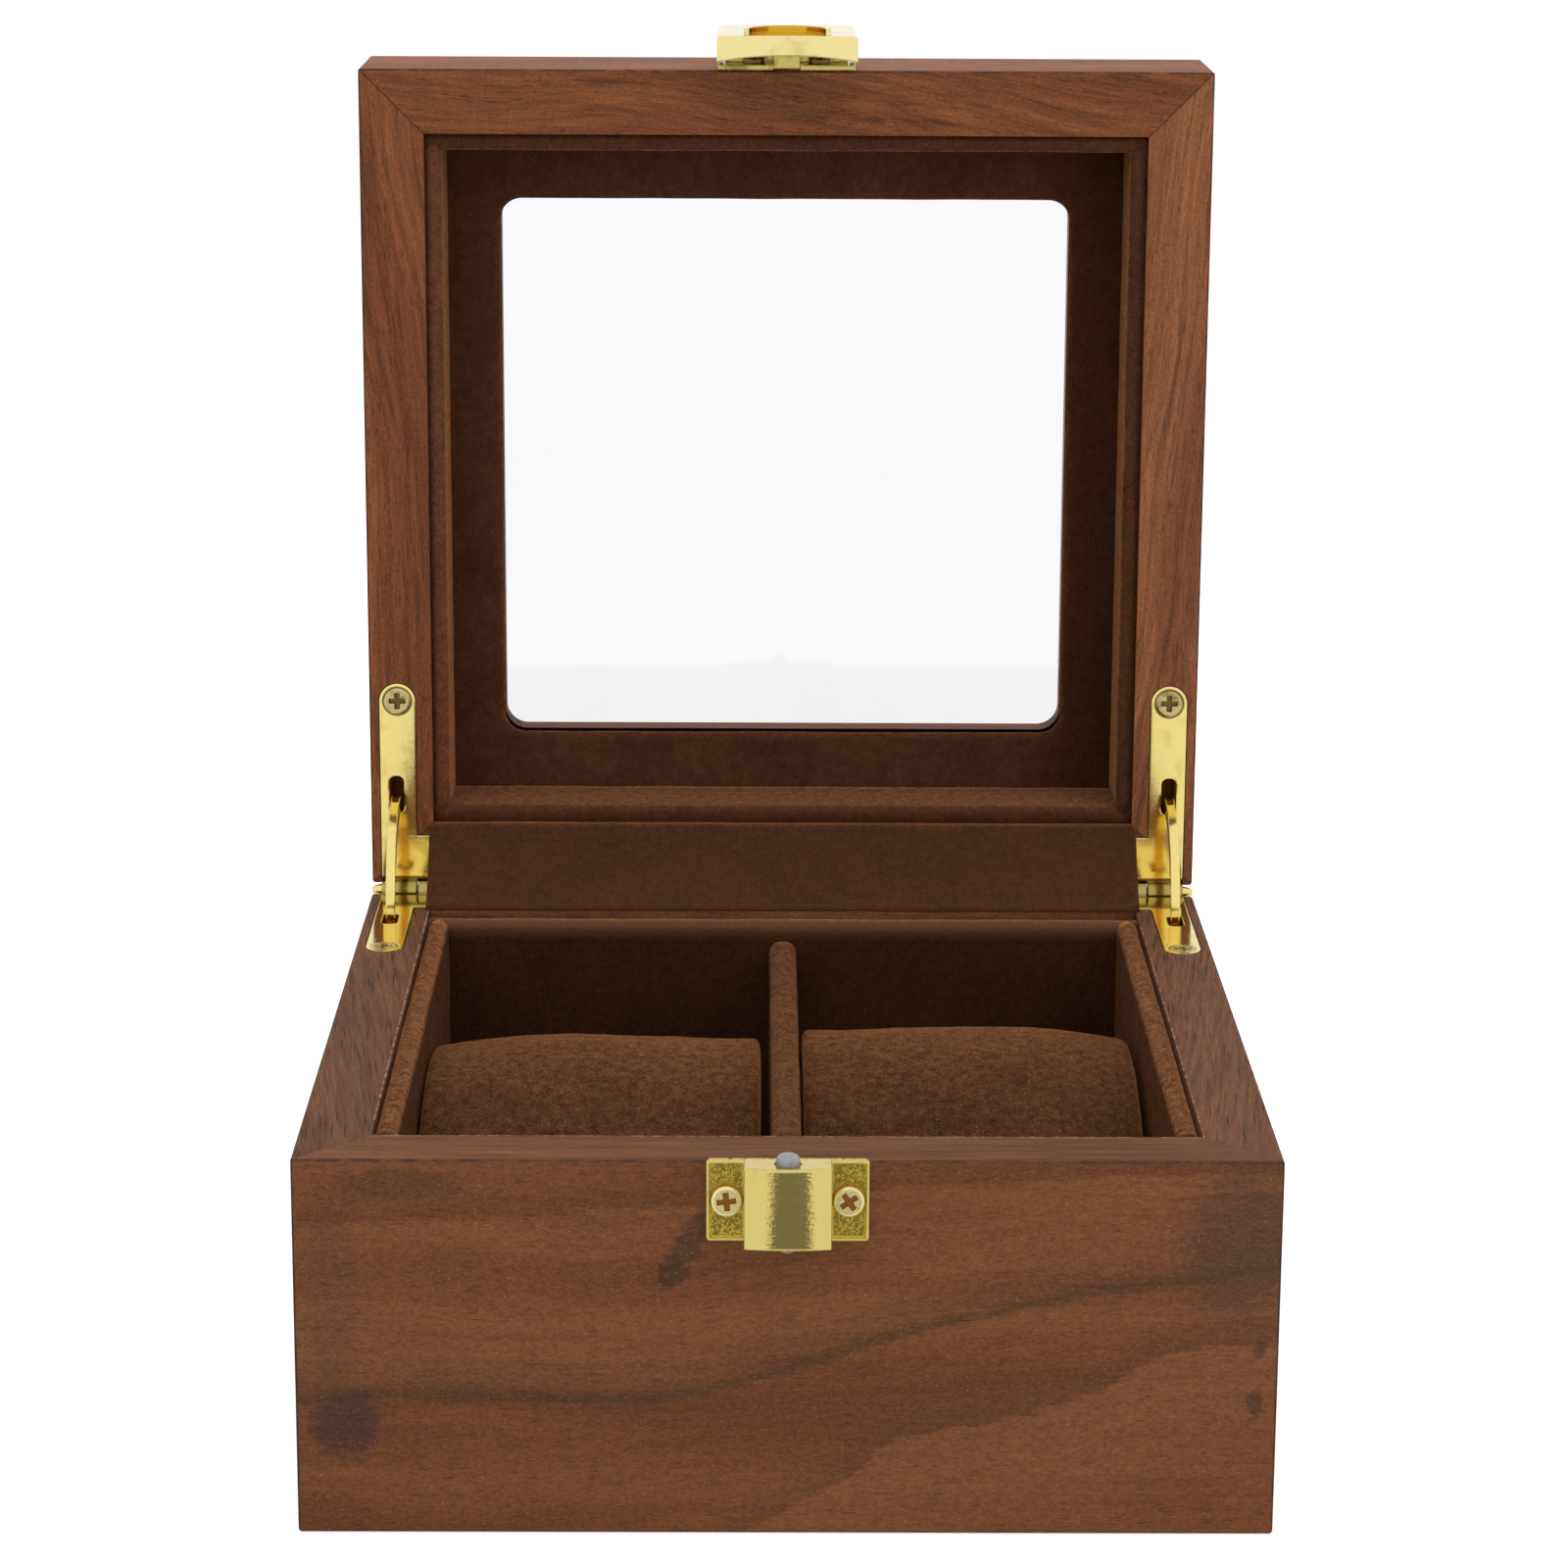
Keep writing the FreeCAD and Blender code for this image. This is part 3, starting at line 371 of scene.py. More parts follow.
def suede(name, dark, mid, light, source="Object", glint_strength=1.0, sheen=0.4, flanks=1.0, painted_top_light=None, painted_shade_span=None):
    """Brushed microfibre: a fine pile with mottled tone and a warm sheen, less on its upright flanks.

    painted_top_light is a pair of heights between which painted light pales it; painted_shade_span is a span
    of X over which painted shade darkens it.
    """
    t = Tree(name)
    p = t.scaled(t.coords(source), 1 / MM)
    mottle = t.noise(t.scaled(p, 0.09), 3.0, 0.6)
    clumps = t.noise(t.scaled(p, 0.8), 3.0, 0.65)
    fuzz = t.noise(t.scaled(p, 4.2), 3.0, 0.75)
    tone = t.math("ADD", t.times(clumps, 0.35), t.times(fuzz, 0.65))
    colour = t.colours(tone, (0.32, dark), (0.50, mid), (0.70, light))
    colour = t.mix(1.0, colour, t.fade(mottle, 0.25, 0.75, 0.86, 1.12), "MULTIPLY")
    # Painted light: between the painted_top_light heights the colour pales towards the light tone, as on a
    # lit top edge.
    if painted_top_light:
        top = t.fade(t.split(p)[2], *painted_top_light)
        colour = t.mix(t.times(top, 0.8), colour, tuple(1.7 * c for c in light))
    # Painted shade: over the painted_shade_span the colour darkens.
    if painted_shade_span:
        colour = t.mix(1.0, colour, t.fade(t.split(p)[0], *painted_shade_span, 1.0, 0.62), "MULTIPLY")
    # Painted glints: bright specks that stand in for highlights on the fibres, scaled by glint_strength.
    glint = t.spots(t.scaled(p, 2.3), 0.05, 0.24, 0.26)
    colour = t.mix(t.times(glint, 0.5 * glint_strength), colour, tuple(2.6 * c for c in light))
    t.bump(t.math("ADD", t.times(fuzz, 0.6), t.times(clumps, 0.4)), 0.22, 0.8)
    upward = t.fade(t.split(t.coords("Normal"))[2], 0.1, 0.8, flanks, 1.0)
    gleam = t.times(t.fade(tone, 0.38, 0.64, 0.3 * sheen, 1.75 * sheen), upward)
    t.put(t.shader.inputs["Sheen Weight"], gleam)
    return t.finish(
        colour,
        t.fade(clumps, 0.3, 0.7, 0.86, 0.98),
        Specular_IOR_Level=0.02,
        Sheen_Roughness=0.40,
        Sheen_Tint=(0.96, 0.40, 0.16, 1.0),
    )


def gilt(name, bright=(0.88, 0.72, 0.26), dull=(0.80, 0.62, 0.20), wrinkle=0.02, polish=0.10, patchiness=0.10,
         shaded_recess=None, joint_shade=False, dish=False, eased_mm=0.35):
    """Bright gilt plating with faint ripples.

    shaded_recess is a Y plane, the painted shade tint behind it and how coarse its grains are; joint_shade
    asks for painted shade in the hinges' joints and round their leaf screws, and the dish is the lever's
    finger hollow, whose inner wall is painted darker as shade.
    """
    t = Tree(name)
    p = t.scaled(t.coords("Object"), 1 / MM)
    x, y, z = t.split(p)
    stain = t.noise(t.scaled(p, 0.30), 3.0, 0.6)
    ripple = t.noise(t.vector("MULTIPLY", p, (0.6, 0.35, 2.6)), 2.0)
    grit = t.noise(t.scaled(p, 2.8), 3.0, 0.6)
    colour = t.mix(t.fade(stain, 0.48, 0.72), bright, dull)
    height = t.math("ADD", t.times(ripple, 0.7), t.times(grit, 0.3))
    if shaded_recess:
        plane, tint, grains = shaded_recess
        crumbs = t.fade(t.noise(t.vector("MULTIPLY", p, (3.2, 1.0, 3.2)), 3.0, 0.7), 0.54, 0.74)
        sunk = t.fade(y, plane - 0.1, plane)
        # Painted shade: what lies behind the plane, the keeper's sunk fields and the screws' cross recesses,
        # takes the darker tint.
        colour = t.mix(sunk, colour, tint)
        height = t.math("ADD", height, t.times(crumbs, sunk, grains))
    if joint_shade:
        wide = t.math("ABSOLUTE", x)
        barrel = t.math("SUBTRACT", t.vector("DISTANCE", t.join(0.0, y, z), (0.0, HINGE_Y, HINGE_Z)), BARREL)
        seat = t.times(t.fade(t.math("ABSOLUTE", t.math("SUBTRACT", barrel, 0.35)), 0.5, 0.25),
                       t.fade(wide, LEAF_INNER - 4.0, LEAF_INNER - 3.9))
        gap = t.fade(t.math("ABSOLUTE", t.math("SUBTRACT", wide, LEAF_INNER)), 0.32, 0.18)
        outer = t.fade(t.math("ABSOLUTE", t.math("SUBTRACT", wide, LEAF_INNER + 4.2)), 0.32, 0.18)
        seams = t.times(t.math("MAXIMUM", gap, outer), t.fade(barrel, 0.3, 0.1))
        head = t.vector("DISTANCE", t.join(wide, 0.0, z), (LEAF_SCREW[0], 0.0, LEAF_SCREW[1]))
        ring = t.fade(t.math("ABSOLUTE", t.math("SUBTRACT", head, 2.15)), 0.35, 0.12)
        # Painted shade in the hinges' joints: round the barrel, in the gaps at the knuckles and in a ring
        # round each leaf screw's head.
        crevice_shade = t.math("MAXIMUM", seat, t.math("MAXIMUM", seams, ring))
        colour = t.mix(t.times(crevice_shade, 0.85), colour, (0.060, 0.030, 0.006))
    if dish:
        across = t.vector("DISTANCE", t.join(x, y, 0.0), (*DISH, 0.0))
        inside = t.times(t.fade(across, DISH_WALL + 0.15, DISH_WALL + 0.05), t.fade(across, 4.6, 5.0))
        # Painted shade: the inner wall of the lever's dish is tinted darker orange.
        hollow = t.times(inside, t.fade(y, DISH[1], DISH[1] + 0.3), t.fade(z, DISH_TOP - 1.1, DISH_TOP - 1.0))
        colour = t.mix(hollow, colour, (0.66, 0.38, 0.03))
    t.bump(height, wrinkle, 1.0, eased_mm)
    rough = t.math("ADD", t.fade(grit, 0.3, 0.8, polish, polish + patchiness), t.fade(stain, 0.5, 0.8, 0.0, 0.08))
    return t.finish(colour, rough, Metallic=1.0)


def steel(name, tone, roughness, scale, metallic=0.85):
    """Plain steel with fine drawn scratches."""
    t = Tree(name)
    p = t.scaled(t.coords("Object"), 1 / MM)
    scratch = t.noise(t.vector("MULTIPLY", p, (scale, scale, 0.6)), 3.0, 0.7)
    cloud = t.noise(t.scaled(p, 0.6), 2.0)
    colour = t.mix(t.fade(cloud, 0.3, 0.7), tuple(tone), tuple(0.72 * c for c in tone))
    t.bump(scratch, 0.02, 0.6)
    return t.finish(colour, t.fade(scratch, 0.3, 0.7, roughness, roughness + 0.15), Metallic=metallic)


def fibre_board(name):
    """The bottom panel's pale brown board, speckled with short fibres."""
    t = Tree(name)
    p = t.scaled(t.coords("Object"), 1 / MM)
    glints_and_fibre_chips = t.noise(t.vector("MULTIPLY", p, (0.8, 1.4, 2.2)), 4.0, 0.7)
    colour = t.colours(
        glints_and_fibre_chips,
        (0.30, (0.16, 0.09, 0.045)),
        (0.55, (0.27, 0.17, 0.09)),
        (0.75, (0.36, 0.25, 0.15)),
    )
    t.bump(glints_and_fibre_chips, 0.08, 0.7)
    return t.finish(colour, t.fade(glints_and_fibre_chips, 0.3, 0.7, 0.7, 0.9))


def glass(name):
    """Clear window glass with a trace of smears."""
    t = Tree(name)
    p = t.scaled(t.coords("Object"), 1 / MM)
    smear = t.noise(t.vector("MULTIPLY", p, (0.05, 0.05, 0.02)), 3.0)
    tint = t.mix(t.fade(smear, 0.3, 0.7), (0.955, 0.945, 0.972), (0.940, 0.932, 0.962))
    return t.finish(tint, t.fade(smear, 0.5, 0.8, 0.0, 0.01), Transmission_Weight=1.0, IOR=1.45)


def dress(material, *names):
    for name in names:
        mesh = nodes[name].data
        mesh.materials.clear()
        mesh.materials.append(material)


def new_piece(name, mesh, material, body, slot, *replaced):
    """A smooth-shaded mesh that rides on a body in place of CAD nodes."""
    mesh.name = name
    piece = bpy.data.objects.new(name, mesh)
    bpy.context.scene.collection.objects.link(piece)
    mesh.materials.clear()
    mesh.materials.append(material)
    mesh.shade_smooth()
    if body:
        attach(piece, body)
    if replaced:
        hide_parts(*replaced)
    return piece


def skin(outline, stations, place, closed=False):
    """A mesh through copies of a closed outline, capped at both ends unless it closes on itself."""
    bm = bmesh.new()
    rings = [[bm.verts.new(place(s, p)) for p in outline] for s in stations]
    for a, b in zip(rings, rings[1:] + (rings[:1] if closed else [])):
        for i in range(len(outline)):
            j = (i + 1) % len(outline)
            bm.faces.new((a[i], a[j], b[j], b[i]))
    if not closed:
        bm.faces.new(rings[0])
        bm.faces.new(rings[-1])
    bmesh.ops.recalc_face_normals(bm, faces=bm.faces)
    mesh = bpy.data.meshes.new("skin")
    bm.to_mesh(mesh)
    bm.free()
    return mesh


def steps(start, end, size):
    count = max(2, math.ceil(abs(end - start) / size))
    return [start + (end - start) * i / count for i in range(count + 1)]


def read_points(mesh, field):
    values = np.empty(len(mesh.vertices) * 3, dtype=np.float32)
    mesh.vertices.foreach_get(field, values)
    return values.reshape(-1, 3)


def write_points(mesh, points):
    mesh.vertices.foreach_set("co", points.astype(np.float32).ravel())
    mesh.update()


def unevenness(points, size, seed):
    """A smooth random number from -1 to 1 for each point."""
    shift = Vector((seed, 0.0, 0.0))
    return np.array([noise.noise(Vector(p) + shift) for p in points / size])[:, None]


def roughen(mesh, amount, size, seed):
    """Push each point a little along its normal, as cloth over board does."""
    points = read_points(mesh, "co")
    write_points(mesh, points + read_points(mesh, "normal") * amount * unevenness(points, size, seed))


def wrapped_outline(width, height, radius, size):
    """A board's end view: square feet and two rounded top edges."""
    points = [(a, 0.0) for a in steps(0.0, width, size)]
    points += [(width, b) for b in steps(0.0, height - radius, size)[1:]]
    for i in range(1, 7):
        turn = math.pi / 2 * i / 6
        points.append((width - radius + radius * math.cos(turn), height - radius + radius * math.sin(turn)))
    if width > 2 * radius + 1e-6:
        points.append((radius, height))
    for i in range(1, 7):
        turn = math.pi / 2 * (1 + i / 6)
        points.append((radius + radius * math.cos(turn), height - radius + radius * math.sin(turn)))
    points += [(0.0, b) for b in steps(height - radius, 0.0, size)[1:-1]]
    return points


def covered_board(node, body, thin, tall, radius, material, seed, size=1.3, amount=0.10, coped=False):
    """A suede-covered board in the place of a CAD lining: thin and tall name its axes.

    A coped board's ends reach over the rounded edges of the two boards they butt against.
    """
    lo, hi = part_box(node)
    a, b = "XYZ".index(thin), "XYZ".index(tall[-1])
    c = 3 - a - b
    down = tall[0] == "-"
    outline = wrapped_outline(hi[a] - lo[a], hi[b] - lo[b], radius * MM, size * MM)
    ends = {lo[c]: -1, hi[c]: 1} if coped else {}

    def place(station, point):
        at = [0.0, 0.0, 0.0]
        at[a] = lo[a] + point[0]
        at[b] = hi[b] - point[1] if down else lo[b] + point[1]
        rise = max(0.0, point[1] - (hi[b] - lo[b] - radius * MM))
        reach = radius * MM - math.sqrt(max(0.0, (radius * MM) ** 2 - rise**2))
        at[c] = station + ends.get(station, 0) * reach
        return at

    mesh = skin(outline, steps(lo[c], hi[c], size * MM), place)
    roughen(mesh, amount * MM, 9 * MM, seed)
    return new_piece("suede_" + node, mesh, material, body, "suede", node)


def rounded_rectangle(half_x, half_z, corner, centre_z, count=10):
    points = []
    for sx, sz, start in ((1, 1, 0), (-1, 1, 90), (-1, -1, 180), (1, -1, 270)):
        for i in range(count + 1):
            turn = math.radians(start + 90 * i / count)
            points.append((sx * (half_x - corner) + corner * math.cos(turn),
                           centre_z + sz * (half_z - corner) + corner * math.sin(turn)))
    dense = []
    for (x0, z0), (x1, z1) in zip(points, points[1:] + points[:1]):
        for s in steps(0.0, 1.0, 3.0 / max(3.0, math.hypot(x1 - x0, z1 - z0)))[:-1]:
            dense.append((x0 + (x1 - x0) * s, z0 + (z1 - z0) * s))
    return dense


def window_mat(material):
    """The suede-covered mat round the window, its inner edge rolled over."""
    lo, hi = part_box("window_mat")
    front, back = lo.y / MM, hi.y / MM
    half_x, half_z = hi.x / MM, (hi.z - lo.z) / 2 / MM
    window = rounded_rectangle(*WINDOW_HALF, WINDOW_CORNER, LID_CENTRE_Z)
    roll = (back - front) / 2
    outline = [(f, front) for f in (1.0, 0.85, 0.7, 0.55, 0.4, 0.25, 0.12)]
    arc = [math.pi * i / 8 for i in range(9)]

    def place(point, spot):
        x, z = point
        share, inset, y = spot
        inner = Vector((x, z - LID_CENTRE_Z))
        stretch = min(half_x / max(abs(inner.x), 1e-6), half_z / max(abs(inner.y), 1e-6))
        outer = inner * stretch
        run = (outer - inner).normalized()
        at = inner + run * inset if inset is not None else inner + (outer - inner) * share
        return (at.x * MM, y * MM, (at.y + LID_CENTRE_Z) * MM)

    spots = [(f, None, y) for f, y in outline]
    spots += [(0.0, roll * (1 - math.sin(a)), front + roll * (1 - math.cos(a))) for a in arc]
    spots += [(f, None, back) for f, _ in reversed(outline)]
    mesh = skin(spots, window, place, closed=True)
    roughen(mesh, 0.08 * MM, 8 * MM, 41)
    return new_piece("suede_window_mat", mesh, material, "lid", "suede", "window_mat")


def flat_cover(name, node, body, material, slot, radius, seed, size=2.2):
    """A thin flat sheet of felt or suede stuck down, with eased edges."""
    lo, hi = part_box(node)
    bm = bmesh.new()
    bmesh.ops.create_cube(bm, size=1.0)
    for vertex in bm.verts:
        for i in range(3):
            vertex.co[i] = (lo[i] + hi[i]) / 2 + vertex.co[i] * (hi[i] - lo[i])
    long_edges = [e for e in bm.edges if e.calc_length() > 0.02]
    cuts = int((hi.x - lo.x) / (size * MM))
    bmesh.ops.subdivide_edges(bm, edges=long_edges, cuts=cuts, use_grid_fill=True)
    rim = [e for e in bm.edges if len(e.link_faces) == 2 and e.calc_face_angle() > 1.0]
    bmesh.ops.bevel(bm, geom=rim, offset=radius * MM, segments=2, affect="EDGES", profile=0.5)
    mesh = bpy.data.meshes.new(name)
    bm.to_mesh(mesh)
    bm.free()
    roughen(mesh, 0.04 * MM, 5 * MM, seed)
    return new_piece(name, mesh, material, body, slot, node)


def cover_cloth(material):
    """The cloth strip that covers the hinge joint between the rear wall and the lid."""
    wall_lo, wall_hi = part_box("base_rear_wall")
    rail_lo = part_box("lid_rear_rail")[0]
    cloth_lo, cloth_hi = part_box("hinge_cover_cloth")
    left, right = cloth_lo.x, cloth_hi.x
    low = Vector((0, wall_lo.y + CLOTH_GAP * MM, wall_hi.z + CLOTH_GAP * MM))
    high = Vector((0, rail_lo.y - CLOTH_GAP * MM, cloth_hi.z - 0.2 * MM))
    run = high - low
    back = Vector((0, run.z, -run.y)).normalized()
    rows, columns = 16, 96
    mesh = bpy.data.meshes.new("cover_cloth")
    points, faces, flat = [], [], []
    for i in range(columns + 1):
        x = left + (right - left) * i / columns
        for j in range(rows + 1):
            s = j / rows
            hang = math.sin(math.pi * s)
            folds = 0.35 * noise.noise((x / MM / 16, s * 1.5, 3.0))
            joint_shade = 0.12 * noise.noise((x / MM / 5, s * 3, 8.0))
            slack = CLOTH_SLACK + folds + joint_shade
            points.append(low + run * s + back * (hang * slack * MM) + Vector((x, 0, 0)))
            flat.append((x, s * run.length))
    for i in range(columns):
        for j in range(rows):
            a = i * (rows + 1) + j
            faces.append((a, a + 1, a + rows + 2, a + rows + 1))
    mesh.from_pydata(points, [], faces)
    layer = mesh.uv_layers.new(name="flat")
    for loop in mesh.loops:
        layer.data[loop.index].uv = flat[loop.vertex_index]
    piece = new_piece("hinge_cover_strip", mesh, material, None, "suede", "hinge_cover_cloth")
    thick = piece.modifiers.new("thickness", "SOLIDIFY")
    thick.thickness = CLOTH_THICKNESS * MM
    thick.offset = 0.0
    apply_modifiers(piece)
    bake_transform(piece)
    return piece


def apply_modifiers(piece):
    graph = bpy.context.evaluated_depsgraph_get()
    mesh = bpy.data.meshes.new_from_object(piece.evaluated_get(graph))
    piece.modifiers.clear()
    piece.data = mesh


SIM_SCALE = 10.0


def eased(mesh, values, rounds):
    """Average a value per point with its neighbours', over and over, so that no step is left."""
    ends = np.empty(2 * len(mesh.edges), dtype=np.int64)
    mesh.edges.foreach_get("vertices", ends)
    a, b = ends[0::2], ends[1::2]
    count = np.bincount(ends, minlength=len(values))
    for _ in range(rounds):
        total = np.bincount(a, values[b], len(values)) + np.bincount(b, values[a], len(values))
        values = 0.5 * values + 0.5 * total / count
    return values


def simulate(piece, frames=20, swell=0.003, sink=0.001):
    """Blow the cushion up as cloth under pressure.

    Its firm filling limits how far a point moves out and in, in metres of the enlarged mesh.
    """
    rest = read_points(piece.data, "co")
    outward = read_points(piece.data, "normal")
    cloth = piece.modifiers.new("cloth", "CLOTH")
    cloth.settings.quality = 6
    cloth.settings.mass = 0.2
    cloth.settings.tension_stiffness = 12
    cloth.settings.compression_stiffness = 12
    cloth.settings.bending_stiffness = 0.4
    cloth.settings.use_pressure = True
    cloth.settings.uniform_pressure_force = 4.0
    cloth.settings.effector_weights.gravity = 0.0
    cloth.collision_settings.use_collision = False
    cloth.point_cache.frame_start, cloth.point_cache.frame_end = 1, frames
    scene = bpy.context.scene
    for f in range(1, frames + 1):
        scene.frame_set(f)
    apply_modifiers(piece)
    scene.frame_set(1)
    move = read_points(piece.data, "co") - rest
    reach = eased(piece.data, np.clip((move * outward).sum(axis=1), -sink, swell), 60)
    write_points(piece.data, rest + outward * reach[:, None])


def watch_cushion(name, node, material, seed):
    """A stuffed cushion with square ends, made a little small and enlarged to be blown up as cloth."""
    lo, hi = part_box(node)
    centre = (lo + hi) / 2
    mesh = nodes[node].data.copy()
    mesh.transform(Matrix.Scale(SIM_SCALE, 4) @ Matrix.Translation(-centre))
    mesh.transform(Matrix.Diagonal((0.994, 0.997, 0.993, 1.0)))
    piece = new_piece(name, mesh, material, None, "cushion_suede")
    remesh = piece.modifiers.new("remesh", "REMESH")
    remesh.mode = "VOXEL"
    remesh.voxel_size = 0.9 * MM * SIM_SCALE
    relax = piece.modifiers.new("relax", "SMOOTH")
    relax.factor, relax.iterations = 0.5, 1
    apply_modifiers(piece)
    simulate(piece)
    fine = piece.modifiers.new("fine", "SUBSURF")
    fine.levels = fine.render_levels = 1
    apply_modifiers(piece)
    piece.data.transform(Matrix.Translation(centre) @ Matrix.Scale(1 / SIM_SCALE, 4))
    points = read_points(piece.data, "co")
    lean = read_points(piece.data, "normal") * (0.3, 1.0, 1.0)
    lumps = 0.16 * unevenness(points, 9 * MM, seed)
    tufts = 0.07 * unevenness(points, 2.5 * MM, seed)
    points -= lean * (lumps + tufts) * MM
    write_points(piece.data, np.clip(points, lo, hi))
    piece.data.shade_smooth()
    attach(piece, node)
    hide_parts(node)
    return piece


def plunger_coil(material):
    """The coil under the plunger, copied from the CAD spring to ride on the base."""
    node = "plunger_spring"
    coil = new_piece("plunger_coil", nodes[node].data.copy(), material, "base", "spring_steel", node)
    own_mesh(coil)


walls = {
    "base_front_wall": dict(along="X", seed=(3, 11, 7), turn=(0, 1.5, 0), tone=(1.04, 0.98, 0.86), pores=0.35,
                            veins=0.06, glints_and_fibre_chips=0.5, calm=0.68, figure=True),
    "base_rear_wall": dict(along="X", seed=(210, 31, 17), turn=(0, -2, 0)),
    "base_left_wall": dict(along="Y", seed=(40, 95, 3), turn=(0, 2, 8), tone=(0.86, 0.86, 0.86), ticks=0.85,
                           glints_and_fibre_chips=0.5),
    "base_right_wall": dict(along="Y", seed=(90, 15, 63), turn=(0, -3, -7), tone=(0.96, 0.96, 0.96),
                            ticks=0.75, glints_and_fibre_chips=0.4),
}
# The lid boards' tones are partly their own colour and partly painted light: each is brightened for the light
# it catches, the right stile most.
lid_boards = {
    "front": dict(along="X", seed=(5, 70, 130), turn=(0, -7, 0), tone=(1.24, 1.10, 0.96), veins=0.55),
    "rear": dict(along="X", seed=(77, 7, 260), turn=(0, 3, 0), tone=(1.22, 1.10, 0.98), veins=0.45),
    "left": dict(along="Z", seed=(35, 210, 90), turn=(0, 0, 5), tone=(1.33, 1.17, 1.05), veins=0.45),
    "right": dict(along="Z", seed=(60, 110, 190), turn=(0, 0, -7), tone=(1.58, 1.54, 1.52), veins=0.45),
}
for wall, look in walls.items():
    dress(walnut("walnut_" + wall, **look), wall)
for side, look in lid_boards.items():
    dress(walnut(f"walnut_lid_{side}", lid=True, **look), f"lid_{side}_rail", f"lid_frame_{side}")

# The base linings' tones are darker than the lid's, partly as painted shade for the deep inside of the box.
lining_tones = ((0.022, 0.009, 0.005), (0.040, 0.016, 0.008), (0.074, 0.031, 0.015))
lining_suede = suede("lining_suede", *lining_tones, glint_strength=1.3, sheen=0.95, flanks=0.12)
# The end linings pale towards their tops as painted light on the lit top edge.
end_suede = suede("end_lining_suede", *lining_tones, sheen=0.9, flanks=0.2,
                  painted_top_light=(BASE_TOP - 4.2, BASE_TOP - 1.4))
divider_suede = suede("divider_suede", *lining_tones, glint_strength=1.3, sheen=0.52, flanks=0.2)
lid_tones = ((0.042, 0.015, 0.0075), (0.075, 0.027, 0.0135), (0.125, 0.050, 0.024))
lid_suede = suede("lid_suede", *lid_tones, sheen=0.5)
# The mat is darkened towards its right side as painted shade.
mat_suede = suede("mat_suede", *lid_tones, sheen=0.5, painted_shade_span=(36.0, 50.0))
# A lit copy of the lid suede, brightened as painted light, for the left lid lining.
lit_lid_suede = suede("lid_left_lit_suede", *[tuple(1.7 * c for c in tone) for tone in lid_tones], sheen=0.6)
cloth_suede = suede("cloth_suede", (0.040, 0.015, 0.007), (0.066, 0.025, 0.011), (0.105, 0.043, 0.019), "UV")
pillow_tones = ((0.016, 0.0065, 0.003), (0.063, 0.025, 0.010), (0.160, 0.066, 0.026))
pillow_suede = suede("pillow_suede", *pillow_tones, glint_strength=2.0)
felt = suede("base_felt", (0.020, 0.010, 0.006), (0.035, 0.018, 0.011), (0.060, 0.032, 0.020))

hinge_parts = [f"{part}_{hand}" for part in ("hinge_base_leaf", "hinge_lid_leaf", "hinge_pin", "stay_arm")
               for hand in ("left", "right")]
dress(gilt("gilt_hinges", (0.88, 0.71, 0.25), (0.84, 0.66, 0.22), 0.006, 0.08, 0.05, joint_shade=True),
      *hinge_parts)
dress(gilt("gilt_latch", (0.87, 0.75, 0.33), (0.76, 0.63, 0.23), 0.018, 0.07, 0.06, dish=True), "latch_lever",
      "latch_pivot_pin")
dress(gilt("gilt_latch_plate", (0.56, 0.45, 0.13), (0.30, 0.23, 0.06), 0.05, 0.14), "latch_plate")
dress(gilt("gilt_keeper", (0.70, 0.57, 0.18), (0.64, 0.51, 0.15), 0.030, 0.012, 0.02,
           shaded_recess=(-64.7, (0.68, 0.50, 0.085), 2.6)), "latch_keeper")
dress(gilt("gilt_keeper_screws", (0.90, 0.77, 0.38), (0.82, 0.67, 0.30), 0.005, 0.26,
           shaded_recess=(-65.0, (0.32, 0.14, 0.03), 0.0), eased_mm=0.12), "keeper_screws")
dress(gilt("gilt_screws", (0.66, 0.53, 0.23), (0.30, 0.22, 0.08), 0.04, 0.22,
           shaded_recess=(65.5, (0.16, 0.11, 0.03), 0.0)),
      "hinge_base_screws", "hinge_lid_screws", "latch_plate_screws")
dress(steel("plunger_steel", (0.36, 0.37, 0.39), 0.5, 3.0, 0.3), "plunger")
spring_wire = steel("spring_wire", (0.46, 0.46, 0.47), 0.22, 6.0)
dress(spring_wire, "latch_spring")
plunger_coil(spring_wire)
dress(fibre_board("bottom_board"), "bottom_panel")
dress(glass("window_glass"), "glass_pane")

for hand, seed in (("left", 1), ("right", 2)):
    covered_board(f"lining_{hand}", "base", "X", "Z", 1.5, lining_suede, seed, coped=True)
for end, seed in (("front", 3), ("rear", 4)):
    covered_board(f"lining_{end}", "base", "Y", "Z", 1.5, end_suede, seed)
covered_board("divider", "base", "X", "Z", 1.8, divider_suede, 5)
for hand, cover, seed in (("left", lit_lid_suede, 6), ("right", lid_suede, 7)):
    covered_board(f"lid_lining_{hand}", "lid", "X", "-Y", 1.1, cover, seed, 1.0, coped=True)
for end, seed in (("front", 8), ("rear", 9)):
    covered_board(f"lid_lining_{end}", "lid", "Z", "-Y", 1.1, lid_suede, seed, 1.0)
window_mat(mat_suede)
flat_cover("suede_floor", "floor_lining", "base", lining_suede, "suede", 0.3, 21)
flat_cover("felt_foot", "base_felt", "base", felt, "felt", 0.25, 22)
cover_cloth(cloth_suede)
watch_cushion("watch_pillow_left", "cushion_left", pillow_suede, 31)
watch_cushion("watch_pillow_right", "cushion_right", pillow_suede, 32)


